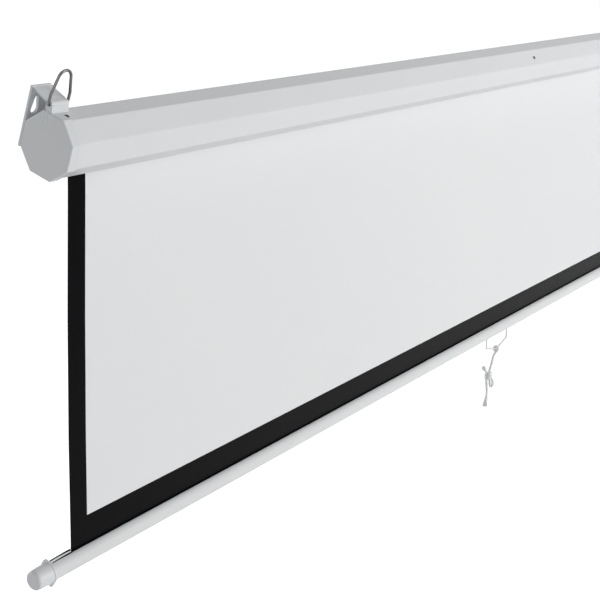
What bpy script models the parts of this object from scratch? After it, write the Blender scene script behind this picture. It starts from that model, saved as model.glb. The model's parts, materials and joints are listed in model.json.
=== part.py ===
"""Pull-down projector screen: eight-sided case, spring roller, fabric and weight bar.

Units are metres. +Z is up, X runs along the case and +Y points to the wall.
The origin is midway between the tops of the two hanging rings.

The case is built square in its own frame and then tipped forward about the roller's axis,
as it is when the screen is hung up by its rings. The fabric and the weight bar hang plumb.
"""

from math import asin, ceil, cos, pi, radians, sin, sqrt, tan

import bmesh
import bpy
from mathutils import Matrix, Quaternion, Vector

# Fits
SEAT_GAP = 0.0003
OVERSHOOT = 0.002
INSET = 0.0005

# Fabric
FABRIC_WIDTH = 2.270
FABRIC_THICKNESS = 0.0004
CASE_MARGIN = 0.052

# Case shell
CASE_ACROSS_FLATS = 0.067
CASE_WALL = 0.001
CASE_BEND_RADIUS = 0.002
CASE_TILT = radians(17.2)
SLOT_FRONT_SPACE = 0.0055
SLOT_REAR_SPACE = 0.0026
SLOT_LIP = 0.004

# End caps
CAP_END_WALL = 0.003
CAP_RIM_WALL = 0.0012
CAP_RIM_DEPTH = 0.0125
CAP_EDGE_RADIUS = 0.0018
SPIGOT_WALL = 0.0018
SPIGOT_DEPTH = 0.009
TONGUE_LENGTH = 0.017
TONGUE_WIDTH = 0.008
TONGUE_THICKNESS = 0.004
BOSS_RADIUS = 0.0095
BOSS_DEPTH = 0.006
FACE_GROOVE_TOP = (0.0088, 0.0350)
FACE_GROOVE_TIP = (0.0048, 0.0182)
FACE_GROOVE_HALF_WIDTH = 0.0036
FACE_GROOVE_DEPTH = 0.0018

# Wall bracket, moulded in one with each end cap
PLATE_THICKNESS = 0.0025
PLATE_RISE = 0.0180
PLATE_DROP = 0.0150
PLATE_WIDTH = 0.060
PLATE_FOOT_WIDTH = 0.045
PLATE_SLOPE_FALL = 0.024
BRACKET_WIDTH = 0.028
BRACKET_WALL = 0.0024
ROOF_FALL = 0.0064
KEYHOLE_HEAD_RADIUS = 0.0052
KEYHOLE_SHANK_RADIUS = 0.0026
KEYHOLE_RISE = 0.0125
KEYHOLE_INSET = 0.0095
KEYHOLE_HEIGHT = 0.0265
KEYHOLE_RIM_WIDTH = 0.0012
KEYHOLE_RIM_HEIGHT = 0.0008

# Hanging ring and the lug that it swings in
RING_WIRE_RADIUS = 0.0015
RING_HEIGHT = 0.0376
RING_TOP_RADIUS = 0.0095
RING_SHOULDER_HEIGHT = 0.010
RING_PIN_LENGTH = 0.008
RING_LEAN = radians(2.2)
LUG_LENGTH = 0.025
LUG_BACK = 0.0095
LUG_PIVOT_RISE = 0.0072
LUG_RADIUS = 0.0042
LUG_DEPTH = 0.0084
LUG_FOOT = 0.0015

# Screws
SCREW_HEAD_RADIUS = 0.0028
SCREW_HEAD_EDGE = 0.00064
SCREW_HEAD_HEIGHT = 0.0016
SCREW_SHANK_RADIUS = 0.0014
SCREW_LENGTH = 0.0075
SCREW_POINT_LENGTH = 0.0015
SCREW_SLOT_WIDTH = 0.0008
CAP_SCREW_INSET = 0.0155
CAP_SCREW_OFFSET = -0.005
CENTRE_SCREW_X = -0.0163
CENTRE_SCREW_OFFSET = -0.001
CLIP_LENGTH = 0.030
CLIP_WIDTH = 0.014
CLIP_THICKNESS = 0.0015

# Roller
ROLLER_RADIUS = 0.0150
ROLLER_WALL = 0.0012
ROLLER_END_SPACE = 0.018
GROOVE_WIDTH = 0.0034
GROOVE_DEPTH = 0.0024
GROOVE_WALL = 0.0011
FABRIC_TURNS = 8
TURN_PITCH = 0.00032
TURN_THICKNESS = 0.00026
PLUG_FLANGE = 0.003
PLUG_DEPTH = 0.022

# Spring motor and ratchet, inside the roller's left end
SPINDLE_RADIUS = 0.004
SPINDLE_TIP_LENGTH = 0.011
TANG_THICKNESS = 0.0032
SPRING_RADIUS = 0.0090
SPRING_WIRE_RADIUS = 0.0011
SPRING_TURNS = 24
SPRING_PITCH = 0.0082
SPRING_PLUG_LENGTH = 0.018
RATCHET_RADIUS = 0.0085
RATCHET_THICKNESS = 0.003
RATCHET_NOTCHES = 2
RATCHET_NOTCH_DEPTH = 0.0022
PAWL_COUNT = 2
PAWL_PIVOT_RADIUS = 0.0125
PAWL_PIN_RADIUS = 0.0011
PAWL_EYE_RADIUS = 0.0024
PAWL_REACH = 0.0078
PAWL_TIP_RADIUS = 0.0006
IDLER_RADIUS = 0.004
BUSH_WALL = 0.0026

# Weight bar
BAR_DROP = 0.4877
TUBE_RADIUS = 0.011
TUBE_WALL = 0.0012
TUBE_SLOT = 0.0052
TUBE_OVERHANG = 0.034
HEM_ROD_RADIUS = 0.0032
HEM_ROD_DEPTH = 0.0004
HEM_STRIP_RISE = 0.0020
HEM_STRIP_BOW = 0.0006
HEM_STRIP_THICKNESS = 0.0012
BAR_CAP_FLANGE_RADIUS = 0.0128
BAR_CAP_FLANGE = 0.0034
BAR_CAP_NUB_RADIUS = 0.0158
BAR_CAP_NUB_ROUND = 0.0014
BAR_CAP_NUB_TURN = radians(20.0)
BAR_CAP_RADIUS = 0.0121
BAR_CAP_END_RADIUS = 0.0115
BAR_CAP_LENGTH = 0.0235
BAR_CAP_EDGE = 0.0035
BAR_CAP_PLUG = 0.012

# Bail handle
BAIL_WIRE_RADIUS = 0.0015
BAIL_HALF_WIDTH = 0.043
BAIL_PIN_LENGTH = 0.008
BAIL_BEND_DROP = 0.030
BAIL_APEX_DROP = 0.0415
BAIL_BEND_RADIUS = 0.002
BAIL_SWING = radians(30.0)

# Pull cord, whose route is given from the bail's lowest point, in the cord's own plane
CORD_RADIUS = 0.0022
CORD_ROUTE = (
    (0.0, -0.0066),
    (-0.0032, -0.0112),
    (-0.0048, -0.0170),
    (-0.0064, -0.0270),
    (-0.0090, -0.0380),
    (-0.01025, -0.04435),
)
CORD_PLANE = radians(-56.5)
KNOT_CENTRE = (-0.0117, -0.0527)
KNOT_RADII = (0.0070, 0.0082)
KNOT_LOOP_CENTRE = (-0.0059, -0.0655)
KNOT_LOOP_RADII = (0.0050, 0.0082)
KNOT_STUB_ROOT = (-0.0136, -0.0465)
KNOT_STUB_TIP = (-0.0205, -0.0374)
KNOT_STUB_END_RADII = (0.0034, 0.0040)
TAIL_ROUTE = (
    (-0.0146, -0.0614),
    (-0.0144, -0.0680),
    (-0.0129, -0.0807),
    (-0.0134, -0.0940),
    (-0.0152, -0.1070),
)
TAIL_END_RADIUS = 0.0052
TAIL_SPREAD_FROM = 0.6

CAP_INNER_FLATS = CASE_ACROSS_FLATS + 2 * SEAT_GAP
CAP_ACROSS_FLATS = CAP_INNER_FLATS + 2 * CAP_RIM_WALL
SOCKET_FLOOR = CAP_END_WALL + INSET
HALF_LENGTH = FABRIC_WIDTH / 2 + CASE_MARGIN
SHELL_HALF_LENGTH = HALF_LENGTH - CAP_END_WALL - SEAT_GAP
ROLL_INNER_RADIUS = ROLLER_RADIUS + SEAT_GAP
ROLL_OUTER_RADIUS = ROLL_INNER_RADIUS + (FABRIC_TURNS * TURN_PITCH) + TURN_THICKNESS
FABRIC_PLANE = ROLL_OUTER_RADIUS + SEAT_GAP + FABRIC_THICKNESS / 2
BORE_RADIUS = SPINDLE_RADIUS + SEAT_GAP
ROLLER_BORE_RADIUS = ROLLER_RADIUS - ROLLER_WALL
PLUG_RADIUS = ROLLER_BORE_RADIUS - SEAT_GAP
LUG_INSET = RING_WIRE_RADIUS + SEAT_GAP + INSET
RING_WIDTH = LUG_LENGTH + 2 * (RING_WIRE_RADIUS + SEAT_GAP)
PIVOT_Y = LUG_BACK
PIVOT_Z = CAP_ACROSS_FLATS / 2 + LUG_PIVOT_RISE
PLATE_FRONT = CAP_ACROSS_FLATS / 2
PLATE_TOP = CAP_ACROSS_FLATS / 2 + PLATE_RISE
BAIL_PIVOT_DROP = TUBE_RADIUS - TUBE_WALL - BAIL_WIRE_RADIUS - SEAT_GAP


def ring_top():
    """The ring's highest point in the case's frame, which the origin is set on."""
    return Vector(
        (0.0, PIVOT_Y - RING_HEIGHT * sin(RING_LEAN), PIVOT_Z + RING_HEIGHT * cos(RING_LEAN))
    )


CASE_CENTRE = -(Matrix.Rotation(CASE_TILT, 3, "X") @ ring_top())
BAR_CENTRE = CASE_CENTRE + Vector((0.0, FABRIC_PLANE, -BAR_DROP))


def clear_scene():
    for old in list(bpy.data.objects):
        bpy.data.objects.remove(old)


def collection(name):
    made = bpy.data.collections.new(name)
    bpy.context.scene.collection.children.link(made)
    return made


def frame(name, place=(0.0, 0.0, 0.0), tilt=0.0, parent=None):
    """An empty that pieces are placed against, on the axis that they turn about."""
    made = bpy.data.objects.new(name, None)
    made.location = place
    made.rotation_euler = (tilt, 0.0, 0.0)
    made.parent = parent
    PARTS.objects.link(made)
    return made


def finish(name, colour, roughness, metallic=0.0):
    made = bpy.data.materials.new(name)
    made.use_nodes = True
    shader = made.node_tree.nodes["Principled BSDF"]
    shader.inputs["Base Color"].default_value = (*colour, 1.0)
    shader.inputs["Roughness"].default_value = roughness
    shader.inputs["Metallic"].default_value = metallic
    return made


def part(name, mesh, material, parent, smooth=True):
    """A named piece of the screen."""
    made = bpy.data.objects.new(name, mesh)
    made.parent = parent
    mesh.materials.clear()
    mesh.materials.append(material)
    if smooth:
        mesh.shade_smooth()
        mesh.set_sharp_from_angle(angle=radians(35))
    PARTS.objects.link(made)
    return made


def tool(name, mesh, parent):
    """A shape that is cut from a piece or joined to it, and isn't a piece itself."""
    made = bpy.data.objects.new(name, mesh)
    made.parent = parent
    made.hide_render = True
    made.display_type = "WIRE"
    CUTTERS.objects.link(made)
    return made


def boolean(piece, other, operation):
    step = piece.modifiers.new(other.name, "BOOLEAN")
    step.operation = operation
    step.solver = "EXACT"
    step.object = other


def cut(piece, name, mesh):
    boolean(piece, tool(name, mesh, piece.parent), "DIFFERENCE")


def join(piece, name, mesh):
    boolean(piece, tool(name, mesh, piece.parent), "UNION")


def weld(mesh, whole_ends=False):
    """Joins doubled points, and makes each flat end one face where that is asked for."""
    work = bmesh.new()
    work.from_mesh(mesh)
    bmesh.ops.remove_doubles(work, verts=work.verts, dist=0.000002)
    if whole_ends:
        flat = radians(0.1)
        bmesh.ops.dissolve_limit(work, angle_limit=flat, verts=work.verts, edges=work.edges)
    bmesh.ops.recalc_face_normals(work, faces=work.faces)
    work.to_mesh(mesh)
    work.free()


def evaluated_mesh(name, data, modify=None):
    """The mesh that a curve, or a mesh with a modifier, comes out as."""
    holder = bpy.data.objects.new(name, data)
    bpy.context.scene.collection.objects.link(holder)
    if modify:
        modify(holder)
    bpy.context.view_layer.update()
    graph = bpy.context.evaluated_depsgraph_get()
    mesh = bpy.data.meshes.new_from_object(holder.evaluated_get(graph))
    bpy.data.objects.remove(holder)
    return mesh


# Turns that lay an outline's own axes along the screen's: its thickness runs along the named axis.
TURNS = {
    "X": Matrix(((0, 0, 1, 0), (1, 0, 0, 0), (0, 1, 0, 0), (0, 0, 0, 1))),
    "Y": Matrix(((1, 0, 0, 0), (0, 0, -1, 0), (0, 1, 0, 0), (0, 0, 0, 1))),
}
SHIFTS = {"X": Vector((1, 0, 0)), "Y": Vector((0, 1, 0))}


def outline_curve(name, loops, half, closed=True):
    curve = bpy.data.curves.new(name, "CURVE")
    curve.dimensions = "2D"
    curve.fill_mode = "BOTH" if closed else "NONE"
    curve.extrude = half
    for loop in loops:
        spline = curve.splines.new("POLY")
        spline.points.add(len(loop) - 1)
        spline.use_cyclic_u = closed
        for point, place in zip(spline.points, loop):
            point.co = (place[0], place[1], 0.0, 1.0)
    return curve


def prism(name, loops, low, high, axis="X", whole_ends=True):
    """A flat outline, with any holes, given thickness from low to high along an axis."""
    low, high = min(low, high), max(low, high)
    mesh = evaluated_mesh(name, outline_curve(name, loops, (high - low) / 2))
    mesh.transform(Matrix.Translation(SHIFTS[axis] * (low + high) / 2) @ TURNS[axis])
    weld(mesh, whole_ends and len(loops) == 1)
    return mesh


def sheet_metal(name, profile, half, wall):
    """A bent strip: an open profile drawn out along X, with its wall inside the profile."""
    ribbon = evaluated_mesh(name, outline_curve(name, [profile], half, closed=False))
    ribbon.transform(TURNS["X"])

    def thicken(holder):
        step = holder.modifiers.new("wall", "SOLIDIFY")
        step.thickness = wall
        step.offset = 1.0
        step.use_even_offset = True

    mesh = evaluated_mesh(name, ribbon, thicken)
    weld(mesh)
    return mesh


def box(name, low, high):
    mesh = bpy.data.meshes.new(name)
    work = bmesh.new()
    low, high = Vector(low), Vector(high)
    place = Matrix.Translation((low + high) / 2) @ Matrix.Diagonal((*(high - low), 1.0))
    bmesh.ops.create_cube(work, size=1.0, matrix=place)
    work.to_mesh(mesh)
    work.free()
    return mesh


def rod(name, radius, low, high, centre=(0.0, 0.0), sides=24, tip_radius=None):
    """A round bar or cone along X, from low to high, centred on a point (y, z)."""
    mesh = bpy.data.meshes.new(name)
    work = bmesh.new()
    place = Matrix.Translation(((low + high) / 2, *centre)) @ Matrix.Rotation(pi / 2, 4, "Y")
    bmesh.ops.create_cone(
        work,
        cap_ends=True,
        segments=sides,
        radius1=radius,
        radius2=radius if tip_radius is None else tip_radius,
        depth=high - low,
        matrix=place,
    )
    work.to_mesh(mesh)
    work.free()
    return mesh


def turned(name, profile, along, steps=24):
    """A turned shape: (radius, place) points from its far end back, spun about X."""
    mesh = bpy.data.meshes.new(name)
    work = bmesh.new()
    dots = [work.verts.new((radius, 0.0, place)) for radius, place in profile]
    for first, second in zip(dots, dots[1:]):
        work.edges.new((first, second))
    work.to_mesh(mesh)
    work.free()

    def spin(holder):
        step = holder.modifiers.new("spin", "SCREW")
        step.steps = steps
        step.render_steps = steps
        step.use_merge_vertices = True
        step.merge_threshold = 0.00001

    made = evaluated_mesh(name, mesh, spin)
    made.transform(Matrix.Rotation(along * pi / 2, 4, "Y"))
    weld(made)
    return made


def tube(name, path, radius, resolution=2, swell=None):
    """A wire or cord along a list of points, with flat ends; swell scales it point by point."""
    curve = bpy.data.curves.new(name, "CURVE")
    curve.dimensions = "3D"
    curve.bevel_depth = radius
    curve.bevel_resolution = resolution
    curve.use_fill_caps = True
    spline = curve.splines.new("POLY")
    spline.points.add(len(path) - 1)
    for point, place, scale in zip(spline.points, path, swell or [1.0] * len(path)):
        point.co = (*place, 1.0)
        point.radius = scale
    mesh = evaluated_mesh(name, curve)
    weld(mesh)
    return mesh


def ball(name, centre, radii, turn=None, segments=16, rings=10):
    """A round body, its first radius level and its second upright."""
    mesh = bpy.data.meshes.new(name)
    work = bmesh.new()
    wide, tall = radii
    stretch = Matrix.Diagonal((wide, wide, tall, 1.0))
    place = Matrix.Translation(centre) @ (turn or Matrix.Identity(4)) @ stretch
    bmesh.ops.create_uvsphere(work, u_segments=segments, v_segments=rings, radius=1.0, matrix=place)
    work.to_mesh(mesh)
    work.free()
    return mesh


def arc(centre, radius, start, end, steps):
    """Points on a circle from one angle to another, both ends included."""
    return [
        (
            centre[0] + radius * cos(start + (end - start) * step / steps),
            centre[1] + radius * sin(start + (end - start) * step / steps),
        )
        for step in range(steps + 1)
    ]


def rounded_path(corners, radius, steps=3):
    """A path through corners, each turned with the given bend radius or what its sides allow."""
    corners = [Vector((*corner, 0.0)[:3]) for corner in corners]
    path = [corners[0]]
    for before, corner, after in zip(corners, corners[1:], corners[2:]):
        back = before - corner
        ahead = after - corner
        half = back.angle(ahead) / 2
        bend = min(radius, 0.45 * min(back.length, ahead.length) * tan(half))
        back.normalize()
        ahead.normalize()
        centre = corner + (back + ahead).normalized() * bend / sin(half)
        spoke = corner + back * bend / tan(half) - centre
        axis = back.cross(ahead).normalized()
        for step in range(steps + 1):
            path.append(centre + Quaternion(axis, (2 * half - pi) * step / steps) @ spoke)
    path.append(corners[-1])
    return path


def smooth_path(knots, spacing):
    """A smooth curve through hand-placed points, read at even steps."""
    knots = [Vector(knot) for knot in knots]
    ends = [2 * knots[0] - knots[1], *knots, 2 * knots[-1] - knots[-2]]
    path = []
    for a, b, c, d in zip(ends, ends[1:], ends[2:], ends[3:]):
        steps = max(1, ceil((c - b).length / spacing))
        for step in range(steps):
            t = step / steps
            path.append(
                0.5
                * (
                    2 * b
                    + (c - a) * t
                    + (2 * a - 5 * b + 4 * c - d) * t * t
                    + (3 * b - a - 3 * c + d) * t**3
                )
            )
    path.append(knots[-1])
    return path


def octagon(across_flats):
    """Corners (y, z) from the front face's upper edge, over the top and round the back."""
    radius = across_flats / 2 / cos(pi / 8)
    return [
        (-radius * cos(pi / 8 + step * pi / 4), radius * sin(pi / 8 + step * pi / 4))
        for step in range(8)
    ]


def from_end(side, depth):
    """X at a depth inwards from the case's left (-1) or right (+1) outer face."""
    return side * (HALF_LENGTH - depth)


def fabric_crossing():
    """Where the plumb fabric crosses the case's lower face, in the case's frame."""
    return FABRIC_PLANE / cos(CASE_TILT) - CASE_ACROSS_FLATS / 2 * tan(CASE_TILT)


def shell_profile():
    corners = octagon(CASE_ACROSS_FLATS)
    bottom = -CASE_ACROSS_FLATS / 2
    rear = fabric_crossing() + SLOT_REAR_SPACE
    front = fabric_crossing() - SLOT_FRONT_SPACE
    path = [(rear, bottom + SLOT_LIP), (rear, bottom)]
    path += [corners[step] for step in (5, 4, 3, 2, 1, 0, 7, 6)]
    path += [(front, bottom), (front, bottom + SLOT_LIP)]
    return [(point.x, point.y) for point in rounded_path(path, CASE_BEND_RADIUS, 2)]


def upright_rod(name, radius, centre, low, high, sides=16):
    """A round bar along Z."""
    mesh = rod(name, radius, low, high, sides=sides)
    mesh.transform(Matrix.Translation((centre[0], centre[1], 0.0)) @ Matrix.Rotation(-pi / 2, 4, "Y"))
    return mesh


def facet_turn():
    """From the case's top to the middle of its front upper facet."""
    return Matrix.Rotation(pi / 4, 4, "X")


def make_case_shell(parent):
    shell = part(
        "case_shell",
        sheet_metal("case_shell", shell_profile(), SHELL_HALF_LENGTH, CASE_WALL),
        WHITE_PAINT,
        parent,
    )
    hole = SCREW_SHANK_RADIUS + SEAT_GAP
    top = CASE_ACROSS_FLATS / 2
    for side, end in ((-1, "left"), (1, "right")):
        centre = (from_end(side, CAP_SCREW_INSET), CAP_SCREW_OFFSET)
        cut(shell, f"cap_screw_hole_{end}", upright_rod("hole", hole, centre, top - 0.004, top + 0.004))
    pierce = upright_rod("hole", hole, (CENTRE_SCREW_X, CENTRE_SCREW_OFFSET), top - 0.004, top + 0.004)
    pierce.transform(facet_turn())
    cut(shell, "centre_screw_hole", pierce)
    return shell


def screw_mesh(name):
    """A domed, slotted screw along Z, with the underside of its head at zero."""
    rise = SCREW_HEAD_HEIGHT - SCREW_HEAD_EDGE
    dome = [
        (SCREW_HEAD_RADIUS * sin(step * pi / 8), SCREW_HEAD_EDGE + rise * cos(step * pi / 8))
        for step in range(5)
    ]
    profile = dome + [
        (SCREW_HEAD_RADIUS, 0.0),
        (SCREW_SHANK_RADIUS, 0.0),
        (SCREW_SHANK_RADIUS, SCREW_POINT_LENGTH - SCREW_LENGTH),
        (0.0, -SCREW_LENGTH),
    ]
    return turned(name, profile, 0, 16)


def make_screw(name, parent, place, turn=None):
    mesh = screw_mesh(name)
    slot = box(
        "slot",
        (-SCREW_SLOT_WIDTH / 2, -2 * SCREW_HEAD_RADIUS, 1.5 * SCREW_HEAD_EDGE),
        (SCREW_SLOT_WIDTH / 2, 2 * SCREW_HEAD_RADIUS, 2 * SCREW_HEAD_HEIGHT),
    )
    seat = (turn or Matrix.Identity(4)) @ Matrix.Translation(place)
    mesh.transform(seat)
    slot.transform(seat)
    cut(part(name, mesh, ZINC, parent), f"{name}_slot", slot)


def make_screws(parent):
    top = CASE_ACROSS_FLATS / 2 + SEAT_GAP
    for side, end in ((-1, "left"), (1, "right")):
        place = (from_end(side, CAP_SCREW_INSET), CAP_SCREW_OFFSET, top)
        make_screw(f"cap_screw_{end}", parent, place)
    make_screw("centre_screw", parent, (CENTRE_SCREW_X, CENTRE_SCREW_OFFSET, top), facet_turn())


def make_centre_clip(parent):
    """The plate inside the case that the centre screw is driven into."""
    outer = CASE_ACROSS_FLATS / 2 - CASE_WALL - SEAT_GAP
    corner = (CENTRE_SCREW_X - CLIP_LENGTH / 2, CENTRE_SCREW_OFFSET - CLIP_WIDTH / 2)
    mesh = box(
        "centre_clip",
        (*corner, outer - CLIP_THICKNESS),
        (corner[0] + CLIP_LENGTH, corner[1] + CLIP_WIDTH, outer),
    )
    hole = upright_rod(
        "hole",
        SCREW_SHANK_RADIUS + SEAT_GAP,
        (CENTRE_SCREW_X, CENTRE_SCREW_OFFSET),
        outer - CLIP_THICKNESS - OVERSHOOT,
        outer + OVERSHOOT,
    )
    mesh.transform(facet_turn())
    hole.transform(facet_turn())
    cut(part("centre_clip", mesh, ZINC, parent, smooth=False), "centre_clip_hole", hole)


def round_rim(mesh, place, radius):
    """Rounds the edges that lie in the plane x = place."""
    work = bmesh.new()
    work.from_mesh(mesh)
    rim = [
        edge
        for edge in work.edges
        if all(abs(vert.co.x - place) < 0.00001 for vert in edge.verts) and not edge.is_boundary
        and edge.calc_face_angle(0.0) > 0.5
    ]
    bmesh.ops.bevel(
        work,
        geom=rim,
        offset=radius,
        offset_type="OFFSET",
        segments=3,
        profile=0.5,
        affect="EDGES",
        clamp_overlap=True,
        material=-1,
    )
    work.to_mesh(mesh)
    work.free()


def cap_cup(side):
    """The eight-sided lid with its rim."""
    mesh = prism("cap", [octagon(CAP_ACROSS_FLATS)], from_end(side, 0.0), from_end(side, CAP_RIM_DEPTH))
    round_rim(mesh, from_end(side, 0.0), CAP_EDGE_RADIUS)
    return mesh


def wall_plate(side):
    """The flat plate against the wall, with its upper inner corner cut away."""
    outline = [
        (from_end(side, 0.0), -PLATE_DROP),
        (from_end(side, 0.0), PLATE_TOP),
        (from_end(side, BRACKET_WIDTH), PLATE_TOP),
        (from_end(side, PLATE_WIDTH), PLATE_TOP - PLATE_SLOPE_FALL),
        (from_end(side, PLATE_WIDTH), 0.0),
        (from_end(side, PLATE_FOOT_WIDTH), -PLATE_DROP),
    ]
    return prism("plate", [outline], PLATE_FRONT - SEAT_GAP, PLATE_FRONT + PLATE_THICKNESS, "Y")


def keyhole_outline(side, margin):
    """A pear, its wide end down, with a margin added all round."""
    centre = (from_end(side, KEYHOLE_INSET), KEYHOLE_HEIGHT)
    top = (centre[0], centre[1] + KEYHOLE_RISE)
    flank = asin((KEYHOLE_HEAD_RADIUS - KEYHOLE_SHANK_RADIUS) / KEYHOLE_RISE)
    loop = arc(centre, KEYHOLE_HEAD_RADIUS + margin, pi - flank, 2 * pi + flank, 12)
    return loop + arc(top, KEYHOLE_SHANK_RADIUS + margin, flank, pi - flank, 6)


def keyhole(side):
    """The hole that lets the case drop over a screw's head."""
    low, high = PLATE_FRONT - OVERSHOOT, PLATE_FRONT + PLATE_THICKNESS + OVERSHOOT
    return prism("keyhole", [keyhole_outline(side, 0.0)], low, high, "Y")


def keyhole_rim(side):
    """The raised edge round the keyhole, on the plate's front."""
    low, high = PLATE_FRONT - KEYHOLE_RIM_HEIGHT, PLATE_FRONT + INSET
    return prism("rim", [keyhole_outline(side, KEYHOLE_RIM_WIDTH)], low, high, "Y")


def bracket_roof(side):
    """The sloping top that carries the lug from the wall plate."""
    back = PLATE_FRONT + PLATE_THICKNESS - 2 * INSET
    front = lug_back() - 2 * INSET
    outline = [
        (back, PLATE_TOP - INSET),
        (back, PLATE_TOP - BRACKET_WALL),
        (front, PLATE_TOP - ROOF_FALL - BRACKET_WALL),
        (front, PLATE_TOP - ROOF_FALL),
    ]
    return prism("roof", [outline], from_end(side, SEAT_GAP), from_end(side, BRACKET_WIDTH))


def bracket_web(side):
    """The wall that closes the bracket's inner side, down to the lid's sloping facet."""
    corners = octagon(CAP_ACROSS_FLATS)
    inside = 2 * INSET
    front = lug_back() - 3 * INSET
    outline = [
        (PLATE_FRONT + PLATE_THICKNESS - inside, PLATE_TOP - 2 * inside),
        (front, PLATE_TOP - ROOF_FALL - inside),
        (front, corners[2][1] + SEAT_GAP),
        (corners[2][0], corners[2][1] + SEAT_GAP),
        (corners[3][0] + SEAT_GAP, corners[3][1] + SEAT_GAP),
        (PLATE_FRONT + PLATE_THICKNESS - inside, corners[3][1]),
    ]
    high = BRACKET_WIDTH - INSET
    return prism("web", [outline], from_end(side, high - BRACKET_WALL), from_end(side, high))


def lug_back():
    return PIVOT_Y + LUG_DEPTH - LUG_RADIUS


def ring_lug(side):
    """The block on the lid that the ring's ends turn in, with a rounded crown."""
    base = CAP_ACROSS_FLATS / 2 - 2 * INSET
    crown = arc((PIVOT_Y, PIVOT_Z), LUG_RADIUS, pi, pi / 2, 5)
    outline = [(PIVOT_Y - LUG_RADIUS - LUG_FOOT, base), *crown]
    outline += [(lug_back(), PIVOT_Z + LUG_RADIUS), (lug_back(), base)]
    return prism(
        "lug", [outline], from_end(side, LUG_INSET), from_end(side, LUG_INSET + LUG_LENGTH)
    )


def face_groove(side):
    """The V-shaped groove in the lid's face, deep at the top edge and running out below."""
    tip = Vector((from_end(side, 0.0), *FACE_GROOVE_TIP))
    top = Vector((from_end(side, FACE_GROOVE_DEPTH), *FACE_GROOVE_TOP))
    length = (top - tip).length + FACE_GROOVE_HALF_WIDTH
    flare = 2 * FACE_GROOVE_DEPTH
    spread = flare * FACE_GROOVE_HALF_WIDTH / FACE_GROOVE_DEPTH
    mesh = prism("groove", [[(0.0, 0.0), (flare, -spread), (flare, spread)]], 0.0, length)
    along = (top - tip).normalized()
    across = along.cross(Vector((side, 0.0, 0.0))).normalized()
    outward = across.cross(along)
    turn = Matrix((along, outward, across)).transposed()
    mesh.transform(Matrix.Translation(tip) @ turn.to_4x4())
    weld(mesh)
    return mesh


def spigot(side):
    """The inner wall that the shell's end slips over."""
    outer = CASE_ACROSS_FLATS - 2 * (CASE_WALL + SEAT_GAP)
    loops = [octagon(outer), octagon(outer - 2 * SPIGOT_WALL)]
    return prism(
        "spigot",
        loops,
        from_end(side, CAP_END_WALL - INSET),
        from_end(side, CAP_END_WALL + SPIGOT_DEPTH),
    )


def screw_tongue(side):
    """The tongue under the shell's top that the end screw bites in."""
    top = CASE_ACROSS_FLATS / 2 - CASE_WALL - 2 * SEAT_GAP
    depths = (CAP_END_WALL - INSET, CAP_END_WALL + TONGUE_LENGTH)
    edges = sorted(from_end(side, depth) for depth in depths)
    return box(
        "tongue",
        (edges[0], CAP_SCREW_OFFSET - TONGUE_WIDTH / 2, top - TONGUE_THICKNESS),
        (edges[1], CAP_SCREW_OFFSET + TONGUE_WIDTH / 2, top),
    )


def spigot_gap(side):
    """Room in the spigot for the lips of the shell's slot."""
    room = CASE_WALL + 2 * SEAT_GAP
    floor = SEAT_GAP - CAP_INNER_FLATS / 2
    depths = (CAP_END_WALL + SEAT_GAP / 2, CAP_END_WALL + SPIGOT_DEPTH + OVERSHOOT)
    edges = sorted(from_end(side, depth) for depth in depths)
    return box(
        "gap",
        (edges[0], fabric_crossing() - SLOT_FRONT_SPACE - room, floor),
        (edges[1], fabric_crossing() + SLOT_REAR_SPACE + room, floor + SLOT_LIP + 4 * CASE_WALL),
    )


def make_end_cap(side, end, parent):
    cap = part(f"end_cap_{end}", cap_cup(side), WHITE_PLASTIC, parent)
    inner = prism(
        "inside",
        [octagon(CAP_INNER_FLATS)],
        from_end(side, CAP_END_WALL),
        from_end(side, CAP_RIM_DEPTH + OVERSHOOT),
    )
    cut(cap, f"cap_inside_{end}", inner)
    join(cap, f"spigot_{end}", spigot(side))
    join(cap, f"tongue_{end}", screw_tongue(side))
    cut(cap, f"spigot_gap_{end}", spigot_gap(side))
    depths = (CAP_END_WALL - INSET, CAP_END_WALL + BOSS_DEPTH)
    edges = sorted(from_end(side, depth) for depth in depths)
    join(cap, f"boss_{end}", rod("boss", BOSS_RADIUS, *edges))
    join(cap, f"plate_{end}", wall_plate(side))
    join(cap, f"keyhole_rim_{end}", keyhole_rim(side))
    join(cap, f"lug_{end}", ring_lug(side))
    join(cap, f"roof_{end}", bracket_roof(side))
    join(cap, f"web_{end}", bracket_web(side))
    cut(cap, f"keyhole_{end}", keyhole(side))
    cut(cap, f"groove_{end}", face_groove(side))
    edges = sorted((from_end(side, -OVERSHOOT), from_end(side, BRACKET_WIDTH + OVERSHOOT)))
    bore = rod("bore", RING_WIRE_RADIUS + SEAT_GAP, *edges, (PIVOT_Y, PIVOT_Z), 16)
    cut(cap, f"ring_bore_{end}", bore)
    hole = upright_rod(
        "hole",
        SCREW_SHANK_RADIUS + SEAT_GAP,
        (from_end(side, CAP_SCREW_INSET), CAP_SCREW_OFFSET),
        CASE_ACROSS_FLATS / 2 - 0.008,
        CASE_ACROSS_FLATS / 2 + 0.004,
    )
    cut(cap, f"cap_screw_pilot_{end}", hole)
    return cap


def make_tang_socket(cap):
    """The slot in the left lid's boss that keeps the spindle from turning."""
    half = TANG_THICKNESS / 2 + SEAT_GAP
    socket = box(
        "socket",
        (from_end(-1, SOCKET_FLOOR), -SPINDLE_RADIUS - SEAT_GAP, -half),
        (from_end(-1, CAP_END_WALL + BOSS_DEPTH + OVERSHOOT), SPINDLE_RADIUS + SEAT_GAP, half),
    )
    cut(cap, "tang_socket", socket)


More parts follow.
